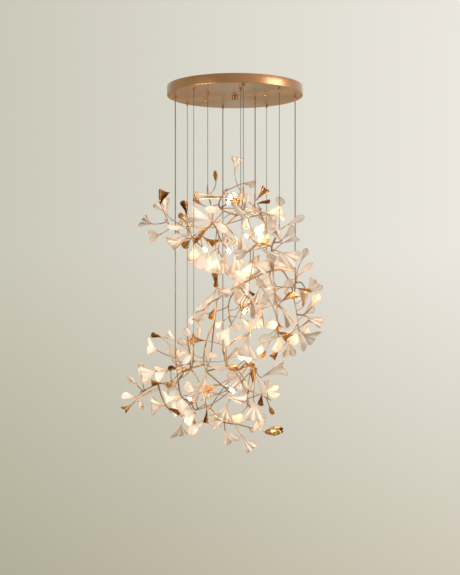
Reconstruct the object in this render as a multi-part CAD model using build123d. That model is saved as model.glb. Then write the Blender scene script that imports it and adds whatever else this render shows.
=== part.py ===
from build123d import *

import math
import os

import numpy as np

# A hanging light: a round canopy on the ceiling, eleven thin cables, and three tiers of
# brass branches with porcelain and gilded ginkgo leaves and small lamps among them.
# The origin is on the ceiling at the canopy's centre, +Z up, and the front faces -Y.

# Canopy pan
CANOPY_RADIUS = 300.0
CANOPY_HEIGHT = 40.0
PAN_WALL = 1.5

# Ceiling bracket and what holds the pan to it
BRACKET_WIDTH = 40.0
BRACKET_THICK = 3.0
BRACKET_OVERHANG = 22.0
MAINS_HOLE_RADIUS = 10.0
CEILING_SCREW_PITCH = 200.0
CEILING_SCREW_RADIUS = 2.5
STUD_RADIUS = 2.5
CAP_NUT_RADIUS = 6.0
CAP_NUT_HEIGHT = 10.5
CAP_NUT_ROOF = 3.0
NIPPLE_RADIUS = 5.0
BOSS_RADIUS = 12.5
BOSS_HEIGHT = 18.0
BOSS_ROOF = 5.0
BOSS_FLATS = 20
THREAD_GAP = 0.05
HOLE_GAP = 0.25

# Driver and terminal block inside the pan
DRIVER_SIZE = (160.0, 42.0, 24.0)
DRIVER_PLACE = (-55.0, 142.0)
DRIVER_CORNER = 4.0
TERMINAL_SIZE = (56.0, 18.0, 16.0)
TERMINAL_PLACE = (-20.0, 98.0)
TERMINAL_SCREW_RADIUS = 2.0
TERMINAL_SCREW_DEPTH = 3.0

# Cable grippers, drawn with a few flats because there are many
GRIPPER_RADIUS = 5.5
GRIPPER_HEIGHT = 8.0
GRIPPER_BORE_DEPTH = 6.5
GRIPPER_CHAMFER = 0.8
SHANK_RADIUS = 3.6
SHANK_HEIGHT = 7.0
LOCK_NUT_RADIUS = 6.5
LOCK_NUT_HEIGHT = 3.0
PLUNGER_RADIUS = 3.3
PLUNGER_LENGTH = 10.0
PLUNGER_TRAVEL = 2.0
PLUNGER_GAP = 0.1
PLUNGER_HEADROOM = 0.5
GRIPPER_FLATS = 8
SHANK_FLATS = 6

# Cables
STEEL_CABLE_RADIUS = 1.25
POWER_CORD_RADIUS = 2.25
CABLE_GAP = 0.3
CABLE_FLATS = 6
FERRULE_RADIUS = 3.5
FERRULE_HEIGHT = 11.0

# Branches, twigs and leaves
STEM_RADIUS = 3.0
STEM_SIDES = 5
TWIG_RADIUS = 1.7
TWIG_SIDES = 4
DROP_LENGTH = 16.0
PORCELAIN_THICK = 2.6
GOLD_THICK = 1.8
ROOT_WIDTH = 5.0
KNEE_LENGTH = 9.0
BUD_SIDES = 6

# Lamps
HOLDER_RADIUS = 6.5
HOLDER_HEIGHT = 13.0
LAMP_RADIUS = 4.8
LAMP_HEIGHT = 21.0
LAMP_SHOULDER = 4.0
LAMP_FLATS = 8

# How far each tier can be pulled up through its grippers
TIER_TRAVEL = 40.0

# The sprays' places are read in a front view from this far, this much below the ceiling
# and this much to the left, as shares of SPRAY_SPAN about each tier's middle height, and
# of SPRAY_DEPTH away from the viewer
VIEW_DISTANCE = 4800.0
VIEW_DROP = 948.0
VIEW_LEFT = 21.6
SPRAY_SPAN = 441.0
SPRAY_DEPTH = 660.0
TIER_DROP = {"upper": 544.0, "middle": 853.0, "lower": 1338.0}

# Room that each piece keeps about the points it is sampled at
SAMPLE_STEP = 7.0
LEAF_ROOM = 4.6
TWIG_ROOM = 3.2
STEM_ROOM = 4.2
CABLE_ROOM = 4.0
LAMP_ROOM = 7.5
DEPTH_STEP = 11.0
DEPTH_STEPS = 18
CLEAR_OF_STEM = 17.0
FOOT_STEP = 8.0
FOOT_CLEAR_OF_JOINT = 12.0
SHORTEST_TWIG = 13.0

# How a twig chooses its foot: the least cosines it takes, and what a detour costs
LEAST_FACING = 0.55
LEAST_AHEAD = -0.45
STRAIGHT_ENOUGH = 0.6
AHEAD_WEIGHT = 1.7
FACING_WEIGHT = 1.4
FACING_GAIN = 0.4
FEET_TRIED = 8

# A run this near to upright, in degrees, counts as upright
UPRIGHT_ANGLE = 5.0

OVERRUN = 1.0

# Gripper places as shares of the canopy's radius: x, y, the tier it carries, and its cable
GRIPPER_SHARES = {
    "g1": (-0.88, 0.07, "lower", "power"),
    "g2": (-0.722, 0.543, "lower", "steel"),
    "g3": (-0.584, -0.64, "lower", "steel"),
    "g4": (-0.395, -0.223, "upper", "steel"),
    "g5": (-0.183, 0.863, "lower", "power"),
    "g6": (0.08, -0.52, "upper", "steel"),
    "g7": (0.114, -0.873, "upper", "steel"),
    "g8": (0.301, 0.17, "upper", "power"),
    "g9": (0.491, 0.753, "middle", "steel"),
    "g10": (0.627, -0.593, "middle", "steel"),
    "g11": (0.893, 0.117, "middle", "power"),
}
STUD_SHARES = ((-0.443, 0.217), (0.438, -0.177))

# Height at which each cable ends, as a share of SPRAY_SPAN above its tier's middle
CABLE_END_SHARES = {
    "g1": 0.39,
    "g2": 0.59,
    "g3": 0.54,
    "g4": 0.21,
    "g5": 0.41,
    "g6": 0.15,
    "g7": 0.15,
    "g8": 0.16,
    "g9": 0.36,
    "g10": 0.51,
    "g11": -0.03,
}

# Branches of each tier: points across and up as shares of SPRAY_SPAN, and away as a share
# of SPRAY_DEPTH. A gripper's name stands for the end of its cable.
STEM_SHARES = {
    "upper": (
        ("g4", (-0.23, -0.10, -0.10), (-0.41, -0.28, -0.05), (-0.60, -0.20, 0.0), (-0.70, -0.09, 0.06)),
        ((-0.23, -0.10, -0.10), (-0.10, -0.14, -0.05), (0.02, -0.05, 0.0), (0.087, -0.04, 0.02),
         (0.20, -0.01, 0.06), (0.33, -0.03, 0.10)),
        ("g8", (0.20, -0.01, 0.06)),
        ("g6", (0.02, 0.02, -0.22), (0.02, -0.05, 0.0)),
        ("g7", (0.05, -0.02, -0.33), (0.02, 0.02, -0.22)),
        ((0.02, -0.05, 0.0), (-0.15, 0.03, -0.02), (-0.12, 0.16, 0.04), (-0.08, 0.22, 0.06)),
        ((-0.10, -0.14, -0.05), (0.0, -0.26, -0.08), (0.04, -0.36, -0.06), (0.11, -0.42, -0.03)),
        ((-0.23, -0.10, -0.10), (-0.16, -0.26, 0.04), (-0.17, -0.44, 0.06)),
        ((0.20, -0.01, 0.06), (0.26, 0.02, 0.22), (0.24, -0.06, 0.34)),
        ((-0.41, -0.28, -0.05), (-0.46, -0.22, 0.12), (-0.42, -0.12, 0.26)),
    ),
    "middle": (
        ("g10", (0.37, 0.34, -0.26), (0.39, 0.18, -0.16), (0.38, 0.10, -0.05), (0.41, -0.22, -0.02),
         (0.44, -0.56, 0.02)),
        ((0.37, 0.34, -0.26), (0.24, 0.37, -0.22), (0.13, 0.29, -0.14)),
        ("g9", (0.33, 0.20, 0.34), (0.38, 0.10, -0.05)),
        ((0.38, 0.10, -0.05), (0.47, 0.10, 0.0), (0.56, -0.05, 0.05), (0.585, -0.15, 0.06), (0.62, -0.34, 0.05),
         (0.64, -0.52, 0.04)),
        ("g11", (0.585, -0.15, 0.06)),
        ((0.38, 0.10, -0.05), (0.26, 0.06, -0.06), (0.04, -0.05, -0.05), (-0.16, -0.18, 0.0),
         (-0.21, -0.30, 0.02)),
        ((0.04, -0.05, -0.05), (0.15, -0.19, -0.10), (0.25, -0.26, -0.13), (0.29, -0.46, -0.10)),
        ((0.04, -0.05, -0.05), (-0.06, -0.22, 0.08), (-0.05, -0.42, 0.10)),
        ((-0.16, -0.18, 0.0), (-0.27, -0.24, 0.08), (-0.33, -0.33, 0.10)),
        ((0.56, -0.05, 0.05), (0.66, -0.02, 0.14), (0.72, -0.12, 0.22)),
        ((0.33, 0.20, 0.34), (0.24, 0.08, 0.30), (0.14, 0.02, 0.26)),
        ((0.62, -0.34, 0.05), (0.72, -0.36, -0.04), (0.76, -0.42, -0.10)),
    ),
    "lower": (
        ((-0.19, 0.86, -0.13), (-0.205, 0.70, -0.11), (-0.265, 0.56, -0.07), (-0.305, 0.40, -0.03),
         (-0.31, 0.26, 0.0), (-0.29, 0.19, 0.0), (-0.296, -0.14, 0.0)),
        ((-0.205, 0.70, -0.11), (-0.22, 0.55, -0.04), (-0.25, 0.30, 0.05), (-0.29, 0.19, 0.0)),
        ((-0.31, 0.26, 0.0), (-0.488, 0.197, -0.05), (-0.57, 0.10, 0.0), (-0.77, 0.06, 0.03),
         (-0.95, -0.02, 0.05)),
        ("g1", (-0.57, 0.10, 0.0)),
        ("g2", (-0.45, 0.22, 0.16), (-0.57, 0.10, 0.0)),
        ("g3", (-0.43, 0.24, -0.22), (-0.488, 0.197, -0.05)),
        ("g5", (-0.06, 0.22, 0.26), (0.02, 0.20, 0.02)),
        ((-0.29, 0.19, 0.0), (-0.083, 0.233, 0.0), (0.02, 0.20, 0.02), (0.113, 0.083, 0.0), (0.136, 0.01, 0.0),
         (0.27, -0.05, -0.03), (0.36, -0.10, -0.05)),
        ((-0.083, 0.233, 0.0), (-0.10, 0.39, 0.03), (0.0, 0.50, 0.10)),
        ((-0.29, 0.19, 0.0), (-0.15, 0.07, 0.08), (-0.05, -0.02, 0.14)),
        ((-0.296, -0.14, 0.0), (-0.15, -0.30, -0.03), (0.05, -0.345, 0.0), (0.18, -0.38, 0.02)),
        ((-0.296, -0.14, 0.0), (-0.40, -0.20, -0.06), (-0.54, -0.26, -0.06)),
        ((-0.77, 0.06, 0.03), (-0.72, -0.09, -0.06), (-0.64, -0.22, -0.12)),
        ((-0.57, 0.10, 0.0), (-0.54, -0.05, 0.10), (-0.48, -0.11, 0.16)),
        ((0.136, 0.01, 0.0), (0.12, -0.12, 0.14), (0.18, -0.20, 0.20)),
        ((0.02, 0.20, 0.02), (0.14, 0.24, -0.12), (0.22, 0.22, -0.22)),
    ),
}

# Lamp arms of each tier: where the arm leaves a branch, and where its holder begins
LAMP_SHARES = {
    "upper": (
        ((-0.16, -0.26, 0.04), (-0.08, -0.38, -0.06)),
        ((-0.41, -0.28, -0.05), (-0.33, -0.36, -0.10)),
        ((-0.15, 0.03, -0.02), (-0.08, 0.07, -0.10)),
    ),
    "middle": (
        ((0.15, -0.19, -0.10), (0.11, -0.28, -0.18)),
        ((0.41, -0.22, -0.02), (0.49, -0.30, -0.10)),
        ((0.24, 0.37, -0.22), (0.16, 0.42, -0.18)),
    ),
    "lower": (
        ((0.02, 0.20, 0.02), (0.10, 0.27, 0.03)),
        ((-0.15, 0.07, 0.08), (-0.06, 0.02, 0.0)),
        ((-0.40, -0.20, -0.06), (-0.44, -0.11, -0.12)),
    ),
}

# Leaf kinds. An outline runs from the root to the tip as shares of the length and the
# half width. A curl is the rise along the leaf as shares of the length, and a fold is the
# rise of both edges as a share of the width.
OUTLINE_SHARES = {
    "fan": ((0.0, 0.0), (0.60, 0.62), (1.0, 0.98), (0.98, 0.0)),
    "notched": ((0.0, 0.0), (0.66, 1.0), (1.0, 0.72), (0.72, 0.0)),
    "rolled": ((0.0, 0.0), (0.70, 0.70), (1.0, 1.0), (0.86, 0.0)),
    "spoon": ((0.0, 0.0), (0.58, 1.0), (1.0, 0.36)),
    "strap": ((0.0, 0.0), (0.72, 1.0), (1.0, 0.0)),
    "cup": ((0.0, 0.0), (0.45, 0.86), (1.0, 1.0)),
}
CURL_SHARES = {
    "fan": ((0.0, 0.0), (0.45, 0.02), (1.0, 0.22)),
    "notched": ((0.0, 0.0), (0.50, -0.02), (1.0, -0.22)),
    "spoon": ((0.0, 0.0), (0.50, 0.08), (1.0, 0.02)),
    "strap": ((0.0, 0.0), (0.45, 0.04), (1.0, -0.16)),
    "cup": ((0.0, 0.0), (0.35, 0.12), (1.0, 0.62)),
}
FOLD_SHARES = {"rolled": 0.34}
BUD_SHARES = ((0.0, 0.42), (0.45, 1.0), (1.0, 0.36))

# How much the leaves lean to and fro and turn about their own lines, leaf by leaf
LEAN_SWING = 34.0
TURN_SWING = 38.0
LEAN_STEP = 137.5
TURN_STEP = 100.0

# Leaves of each tier: across and up as shares of SPRAY_SPAN, away as a share of
# SPRAY_DEPTH, the direction in degrees in the front view (0 right, 90 up), then length and
# width as shares of SPRAY_SPAN, and the kind. A leaf that would touch another piece is
# moved away or nearer until it is clear.
PORCELAIN_SHARES = {
    "upper": (
        (-0.68, -0.04, 0.12, 115, 0.15, 0.19, "fan"),
        (-0.83, -0.135, 0.06, 170, 0.11, 0.13, "fan"),
        (-0.75, -0.24, -0.06, 195, 0.10, 0.12, "notched"),
        (-0.48, -0.165, -0.19, 180, 0.23, 0.06, "strap"),
        (-0.46, -0.25, -0.12, 185, 0.18, 0.06, "strap"),
        (-0.46, -0.28, -0.06, 205, 0.21, 0.16, "rolled"),
        (-0.415, -0.35, 0.03, 265, 0.14, 0.11, "spoon"),
        (-0.40, -0.42, 0.12, 250, 0.12, 0.10, "spoon"),
        (-0.32, -0.41, -0.15, 265, 0.20, 0.16, "notched"),
        (-0.25, -0.45, 0.00, 265, 0.14, 0.10, "spoon"),
        (-0.19, -0.475, -0.12, 270, 0.14, 0.08, "spoon"),
        (-0.11, -0.45, -0.20, 270, 0.23, 0.17, "notched"),
        (-0.01, -0.395, -0.18, 285, 0.23, 0.16, "fan"),
        (-0.025, -0.595, 0.00, 330, 0.18, 0.11, "rolled"),
        (-0.20, -0.114, -0.20, 155, 0.26, 0.20, "rolled"),
        (-0.21, -0.125, -0.28, 332, 0.16, 0.08, "spoon"),
        (-0.14, 0.13, -0.10, 185, 0.21, 0.09, "cup"),
        (-0.145, 0.02, -0.18, 180, 0.15, 0.08, "spoon"),
        (0.0, 0.405, 0.10, 75, 0.14, 0.13, "fan"),
        (0.09, 0.27, 0.03, 5, 0.12, 0.07, "spoon"),
        (-0.06, 0.106, -0.25, 310, 0.21, 0.06, "strap"),
        (0.09, 0.0, -0.38, 80, 0.16, 0.13, "fan"),
        (0.44, 0.02, 0.06, 85, 0.12, 0.10, "spoon"),
        (0.305, -0.02, 0.00, 0, 0.19, 0.17, "rolled"),
        (0.276, -0.05, 0.18, 10, 0.12, 0.07, "spoon"),
        (0.35, -0.053, 0.07, 275, 0.15, 0.10, "spoon"),
        (0.31, -0.21, 0.00, 235, 0.14, 0.06, "strap"),
        (0.30, -0.13, -0.10, 230, 0.13, 0.09, "spoon"),
        (0.28, -0.10, 0.25, 300, 0.15, 0.06, "strap"),
        (0.07, -0.18, -0.35, 275, 0.21, 0.12, "rolled"),
        (0.08, -0.34, -0.15, 260, 0.14, 0.10, "spoon"),
        (-0.40, -0.16, 0.38, 150, 0.18, 0.17, "fan"),
        (0.25, -0.08, 0.45, 340, 0.16, 0.17, "fan"),
        (-0.12, 0.20, -0.06, 300, 0.10, 0.07, "spoon"),
        (0.11, -0.065, -0.12, 270, 0.12, 0.09, "fan"),
        (0.15, -0.16, 0.08, 290, 0.12, 0.10, "notched"),
        (-0.10, -0.22, -0.20, 285, 0.13, 0.11, "fan"),
    ),
    "middle": (
        (0.534, 0.56, -0.38, 28, 0.18, 0.07, "strap"),
        (0.494, 0.43, -0.45, 50, 0.14, 0.08, "spoon"),
        (0.476, 0.37, -0.28, 120, 0.15, 0.11, "rolled"),
        (0.505, 0.385, -0.15, 18, 0.16, 0.07, "strap"),
        (0.45, 0.285, -0.25, 335, 0.20, 0.19, "fan"),
        (0.67, 0.21, 0.06, 70, 0.12, 0.07, "spoon"),
        (0.63, 0.067, -0.12, 150, 0.23, 0.10, "rolled"),
        (0.65, 0.06, 0.00, 45, 0.16, 0.06, "strap"),
        (0.16, 0.18, -0.12, 350, 0.17, 0.14, "fan"),
        (0.23, 0.35, -0.43, 325, 0.22, 0.10, "rolled"),
        (0.39, 0.23, 0.12, 215, 0.11, 0.09, "spoon"),
        (0.436, 0.274, 0.00, 290, 0.19, 0.09, "spoon"),
        (0.17, 0.175, 0.12, 250, 0.15, 0.12, "spoon"),
        (-0.18, -0.08, -0.07, 235, 0.20, 0.06, "strap"),
        (-0.31, -0.32, 0.10, 130, 0.08, 0.08, "fan"),
        (-0.26, -0.244, -0.06, 240, 0.21, 0.11, "rolled"),
        (-0.39, -0.325, 0.06, 240, 0.13, 0.07, "spoon"),
        (-0.38, -0.38, 0.18, 280, 0.19, 0.05, "strap"),
        (-0.16, -0.11, -0.18, 350, 0.16, 0.11, "cup"),
        (0.0, -0.21, -0.18, 80, 0.13, 0.09, "spoon"),
        (0.03, -0.27, 0.05, 60, 0.14, 0.10, "spoon"),
        (0.08, -0.24, -0.28, 335, 0.18, 0.14, "rolled"),
        (0.16, -0.20, -0.33, 300, 0.14, 0.09, "cup"),
        (0.25, -0.07, -0.15, 250, 0.18, 0.13, "rolled"),
        (0.29, -0.14, -0.03, 270, 0.11, 0.09, "spoon"),
        (0.28, -0.256, -0.25, 245, 0.22, 0.06, "strap"),
        (0.044, -0.02, -0.22, 330, 0.13, 0.12, "fan"),
        (0.354, 0.066, 0.10, 245, 0.11, 0.08, "spoon"),
        (0.40, -0.06, -0.18, 200, 0.11, 0.08, "spoon"),
        (-0.115, -0.405, 0.07, 220, 0.10, 0.07, "spoon"),
        (-0.05, -0.46, 0.00, 240, 0.21, 0.16, "notched"),
        (-0.037, -0.445, 0.20, 340, 0.11, 0.08, "spoon"),
        (0.055, -0.36, -0.10, 310, 0.19, 0.16, "rolled"),
        (0.50, -0.125, 0.03, 75, 0.15, 0.09, "spoon"),
        (0.467, -0.07, 0.12, 200, 0.16, 0.12, "rolled"),
        (0.685, -0.256, 0.12, 60, 0.14, 0.11, "cup"),
        (0.777, -0.256, 0.00, 70, 0.14, 0.10, "spoon"),
        (0.70, -0.336, 0.18, 50, 0.14, 0.11, "spoon"),
        (0.703, -0.36, -0.12, 335, 0.18, 0.12, "fan"),
        (0.674, -0.53, 0.12, 45, 0.09, 0.10, "fan"),
        (0.674, -0.537, 0.00, 340, 0.20, 0.16, "notched"),
        (0.617, -0.53, -0.10, 250, 0.13, 0.12, "spoon"),
        (0.65, -0.55, 0.12, 290, 0.18, 0.07, "strap"),
        (0.54, -0.62, 0.07, 275, 0.16, 0.14, "notched"),
        (0.433, -0.572, -0.10, 275, 0.14, 0.11, "spoon"),
        (0.295, -0.59, -0.05, 250, 0.18, 0.07, "strap"),
        (0.13, -0.563, -0.15, 260, 0.21, 0.23, "fan"),
        (0.44, -0.56, -0.20, 190, 0.20, 0.08, "spoon"),
        (0.444, -0.24, -0.28, 310, 0.24, 0.13, "rolled"),
        (0.284, -0.445, 0.00, 0, 0.14, 0.10, "spoon"),
        (0.72, -0.13, 0.38, 40, 0.16, 0.17, "fan"),
        (0.13, 0.03, 0.43, 190, 0.18, 0.17, "notched"),
        (0.24, 0.10, 0.50, 120, 0.16, 0.15, "fan"),
        (0.39, -0.10, 0.12, 280, 0.12, 0.10, "fan"),
        (0.135, 0.29, -0.28, 200, 0.13, 0.10, "notched"),
        (0.31, -0.07, -0.22, 150, 0.11, 0.08, "spoon"),
        (0.20, -0.34, -0.14, 290, 0.13, 0.11, "fan"),
    ),
    "lower": (
        (-0.57, 0.478, 0.06, 140, 0.15, 0.11, "rolled"),
        (-0.465, 0.44, 0.35, 150, 0.13, 0.08, "spoon"),
        (-0.43, 0.52, -0.38, 120, 0.12, 0.08, "spoon"),
        (-0.78, 0.40, 0.00, 155, 0.14, 0.16, "notched"),
        (-0.626, 0.306, -0.12, 100, 0.15, 0.08, "spoon"),
        (-0.60, 0.30, 0.20, 60, 0.14, 0.13, "fan"),
        (-0.534, 0.196, 0.12, 160, 0.10, 0.08, "spoon"),
        (-0.528, 0.225, -0.20, 60, 0.15, 0.07, "strap"),
        (-0.93, 0.10, 0.10, 115, 0.14, 0.08, "cup"),
        (-0.79, 0.19, -0.03, 195, 0.15, 0.20, "fan"),
        (-0.67, 0.205, -0.15, 172, 0.13, 0.05, "strap"),
        (-0.695, 0.18, -0.25, 215, 0.12, 0.10, "spoon"),
        (-0.97, 0.04, 0.03, 130, 0.14, 0.06, "strap"),
        (-0.59, 0.07, -0.22, 240, 0.14, 0.10, "spoon"),
        (-0.396, -0.04, -0.18, 130, 0.15, 0.09, "spoon"),
        (-0.286, 0.18, -0.20, 255, 0.16, 0.12, "rolled"),
        (-1.0, -0.07, 0.07, 175, 0.14, 0.08, "spoon"),
        (-0.99, -0.08, -0.03, 305, 0.14, 0.05, "strap"),
        (-0.71, -0.15, -0.18, 180, 0.14, 0.18, "fan"),
        (-0.54, -0.06, -0.03, 200, 0.18, 0.14, "rolled"),
        (-0.523, -0.256, -0.12, 95, 0.18, 0.10, "spoon"),
        (-0.39, -0.198, -0.25, 190, 0.13, 0.09, "spoon"),
        (-0.39, -0.227, -0.10, 225, 0.15, 0.13, "spoon"),
        (-0.41, -0.28, 0.03, 270, 0.16, 0.12, "spoon"),
        (-0.54, -0.35, -0.05, 260, 0.16, 0.16, "notched"),
        (-0.30, -0.28, -0.10, 225, 0.13, 0.06, "strap"),
        (-0.104, -0.30, -0.18, 205, 0.15, 0.10, "rolled"),
        (-0.078, -0.146, -0.12, 255, 0.17, 0.20, "fan"),
        (-0.095, -0.055, -0.20, 345, 0.21, 0.12, "rolled"),
        (-0.10, -0.393, 0.00, 300, 0.18, 0.16, "notched"),
        (-0.306, 0.422, -0.10, 318, 0.16, 0.07, "strap"),
        (-0.06, 0.45, 0.07, 35, 0.23, 0.05, "strap"),
        (-0.106, 0.296, -0.15, 20, 0.14, 0.09, "cup"),
        (0.136, 0.324, 0.12, 160, 0.13, 0.11, "spoon"),
        (-0.255, 0.238, -0.30, 352, 0.18, 0.06, "strap"),
        (-0.07, 0.08, -0.15, 50, 0.11, 0.10, "spoon"),
        (0.113, 0.01, -0.20, 235, 0.13, 0.09, "spoon"),
        (0.26, 0.128, -0.18, 30, 0.26, 0.15, "rolled"),
        (0.325, -0.008, -0.07, 95, 0.11, 0.11, "fan"),
        (0.29, -0.03, 0.10, 15, 0.15, 0.13, "notched"),
        (0.19, -0.112, -0.12, 280, 0.18, 0.20, "fan"),
        (0.07, -0.227, 0.10, 235, 0.11, 0.12, "spoon"),
        (0.175, -0.42, 0.07, 50, 0.20, 0.08, "spoon"),
        (0.06, -0.445, -0.07, 305, 0.18, 0.14, "fan"),
        (0.20, -0.22, 0.35, 320, 0.16, 0.17, "fan"),
        (-0.46, -0.14, 0.30, 200, 0.17, 0.17, "fan"),
        (-0.22, 0.05, 0.14, 230, 0.13, 0.11, "fan"),
        (0.05, 0.12, -0.18, 250, 0.12, 0.10, "notched"),
        (-0.20, -0.25, 0.12, 280, 0.12, 0.10, "fan"),
        (-0.36, 0.02, -0.22, 240, 0.12, 0.10, "notched"),
    ),
}
GOLD_SHARES = {
    "upper": (
        (-0.75, 0.066, 0.00, 100, 0.11, 0.11, "cup"),
        (-0.45, -0.30, -0.22, 225, 0.10, 0.08, "spoon"),
        (-0.324, -0.26, -0.20, 320, 0.16, 0.13, "rolled"),
        (-0.18, -0.66, 0.00, 280, 0.08, 0.06, "cup"),
        (-0.226, -0.136, 0.03, 225, 0.26, 0.05, "strap"),
        (-0.483, -0.03, 0.03, 75, 0.11, 0.09, "cup"),
        (-0.49, -0.11, 0.12, 130, 0.11, 0.06, "spoon"),
        (-0.32, 0.05, 0.00, 145, 0.14, 0.10, "fan"),
        (-0.19, 0.296, 0.05, 95, 0.11, 0.04, "bud"),
        (0.04, 0.055, -0.18, 130, 0.14, 0.13, "fan"),
        (0.22, 0.11, -0.03, 50, 0.15, 0.10, "rolled"),
        (0.225, 0.07, 0.20, 30, 0.10, 0.05, "cup"),
    ),
    "middle": (
        (0.23, 0.354, -0.18, 15, 0.14, 0.10, "fan"),
        (-0.18, -0.066, 0.05, 115, 0.11, 0.07, "cup"),
        (-0.215, -0.30, -0.10, 250, 0.10, 0.05, "bud"),
        (0.05, -0.245, -0.07, 270, 0.10, 0.09, "cup"),
        (0.124, -0.09, 0.00, 310, 0.10, 0.06, "cup"),
        (0.456, -0.22, 0.10, 40, 0.18, 0.13, "rolled"),
        (0.628, -0.078, 0.05, 345, 0.16, 0.05, "strap"),
        (0.444, -0.69, 0.00, 200, 0.10, 0.07, "cup"),
        (0.307, -0.704, 0.05, 240, 0.09, 0.06, "spoon"),
        (0.42, -0.51, 0.15, 340, 0.15, 0.10, "fan"),
        (0.42, -0.382, 0.07, 280, 0.11, 0.08, "rolled"),
    ),
    "lower": (
        (-0.74, 0.535, 0.03, 145, 0.08, 0.07, "cup"),
        (-0.31, 0.50, 0.12, 180, 0.15, 0.11, "fan"),
        (-0.643, 0.196, 0.05, 100, 0.08, 0.08, "cup"),
        (-0.73, 0.07, 0.12, 150, 0.08, 0.07, "cup"),
        (-0.62, 0.10, -0.15, 230, 0.09, 0.08, "spoon"),
        (-1.02, -0.13, 0.12, 225, 0.12, 0.08, "rolled"),
        (-0.68, -0.17, 0.00, 330, 0.12, 0.07, "cup"),
        (-0.50, -0.09, 0.07, 345, 0.11, 0.10, "rolled"),
        (-0.28, -0.20, -0.18, 280, 0.10, 0.06, "cup"),
        (-0.085, 0.235, 0.12, 0, 0.12, 0.07, "spoon"),
        (0.09, 0.267, -0.05, 350, 0.11, 0.06, "spoon"),
        (0.18, 0.083, 0.10, 80, 0.10, 0.10, "cup"),
        (-0.18, 0.05, -0.15, 200, 0.15, 0.12, "fan"),
        (0.267, -0.049, -0.18, 260, 0.09, 0.08, "cup"),
        (0.35, -0.17, 0.00, 295, 0.08, 0.04, "bud"),
        (0.307, -0.419, 0.00, 12, 0.17, 0.09, "bud"),
    ),
}
TIERS = ("upper", "middle", "lower")


def unit(vector):
    """The vector at length one."""
    return vector / np.linalg.norm(vector)


def seen_place(tier, across_share, up_share, away):
    """The point that shows at a place of the front view when it lies this far away."""
    spread = 1 + away / VIEW_DISTANCE
    across = across_share * SPRAY_SPAN
    up = up_share * SPRAY_SPAN - TIER_DROP[tier]
    return np.array(
        [-VIEW_LEFT + (across + VIEW_LEFT) * spread, away, -VIEW_DROP + (up + VIEW_DROP) * spread]
    )


def gripper_place(name):
    """Where a gripper stands on the pan, as x and y."""
    share = GRIPPER_SHARES[name]
    return CANOPY_RADIUS * share[0], CANOPY_RADIUS * share[1]


def cable_end(name):
    """The top of the branch that a cable carries, below its ferrule."""
    x, y = gripper_place(name)
    tier = GRIPPER_SHARES[name][2]
    return np.array([x, y, CABLE_END_SHARES[name] * SPRAY_SPAN - TIER_DROP[tier]])


def stem_points(tier, path):
    """A branch's points. Below a cable it first drops straight down."""
    points = []
    for stop in path:
        if isinstance(stop, str):
            end = cable_end(stop)
            points += [end, end - np.array([0, 0, DROP_LENGTH])]
        else:
            points.append(seen_place(tier, stop[0], stop[1], stop[2] * SPRAY_DEPTH))
    return points


def ring(centre, along, radius, sides):
    """Points of a flat ring across a direction."""
    side = np.cross(along, np.array([0.0, 0.0, 1.0]))
    if np.linalg.norm(side) < np.linalg.norm(along) * math.sin(math.radians(UPRIGHT_ANGLE)):
        side = np.array([1.0, 0.0, 0.0])
    side = unit(side - along * np.dot(side, along))
    other = np.cross(along, side)
    turns = [2 * math.pi * k / sides for k in range(sides)]
    return [centre + radius * (math.cos(t) * side + math.sin(t) * other) for t in turns]


def on_plane(points, along, centre, normal):
    """The points moved along a direction onto a plane."""
    return [p + along * np.dot(centre - p, normal) / np.dot(along, normal) for p in points]


def bar_rings(points, radius, sides, first_normal=None, last_normal=None):
    """The rings of a bar along straight runs, mitred where it turns."""
    runs = [unit(b - a) for a, b in zip(points, points[1:])]
    normals = [unit(a + b) for a, b in zip(runs, runs[1:])]
    normals = [runs[0] if first_normal is None else first_normal] + normals
    normals += [runs[-1] if last_normal is None else last_normal]
    rings = [on_plane(ring(points[0], runs[0], radius, sides), runs[0], points[0], normals[0])]
    for k, run in enumerate(runs):
        rings.append(on_plane(rings[-1], run, points[k + 1], normals[k + 1]))
    return rings


def flat_face(corners):
    """A flat face through the corners."""
    return Face(Wire.make_polygon([Vector(*c) for c in corners], close=True))


def bar(points, radius, sides, first_normal=None, last_normal=None):
    """A solid bar along straight runs, mitred where it turns."""
    return between_rings(bar_rings(points, radius, sides, first_normal, last_normal))


def between_rings(rings):
    """A solid with flat sides from ring to ring."""
    faces = [flat_face(rings[0]), flat_face(rings[-1])]
    sides = len(rings[0])
    for low, high in zip(rings, rings[1:]):
        for k in range(sides):
            j = (k + 1) % sides
            faces.append(flat_face([low[k], low[j], high[j], high[k]]))
    return Solid(Shell(faces))


def prism(radius, height, sides, x=0, y=0, z=0):
    """An upright prism whose foot is at z."""
    return Pos(x, y, z) * extrude(RegularPolygon(radius, sides), height)


def leaf_solid(kind, length, width, thick):
    """A leaf along +X from its root at the origin, with its face up."""
    half = width / 2
    if kind == "bud":
        along = np.array([1.0, 0.0, 0.0])
        return between_rings(
            [ring(along * share * length, along, half * wide, BUD_SIDES) for share, wide in BUD_SHARES]
        )
    root = min(ROOT_WIDTH / 2, half)
    upper = [(a * length, root + b * (half - root)) for a, b in OUTLINE_SHARES[kind]]
    if OUTLINE_SHARES[kind][-1][1] == 0:
        upper[-1] = (upper[-1][0], 0)
    lower = [(a, -b) for a, b in reversed(upper) if b > 0]
    blank = extrude(make_face(Polyline(upper + lower, close=True)), length + width, both=True)
    if kind in FOLD_SHARES:
        rise = FOLD_SHARES[kind] * width
        top = [(-half - OVERRUN, rise), (0, 0), (half + OVERRUN, rise)]
        under = [(y, z - thick) for y, z in reversed(top)]
        sheet = extrude(Plane.YZ * make_face(Polyline(top + under, close=True)), length + OVERRUN)
    else:
        top = [(a * length, b * length + thick / 2) for a, b in CURL_SHARES[kind]]
        top = [(-OVERRUN, top[0][1])] + top[:-1] + [past(top[-2], top[-1])]
        under = [(x, z - thick) for x, z in reversed(top)]
        sheet = extrude(Plane.XZ * make_face(Polyline(top + under, close=True)), width, both=True)
    return (blank & sheet).solid()


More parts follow.
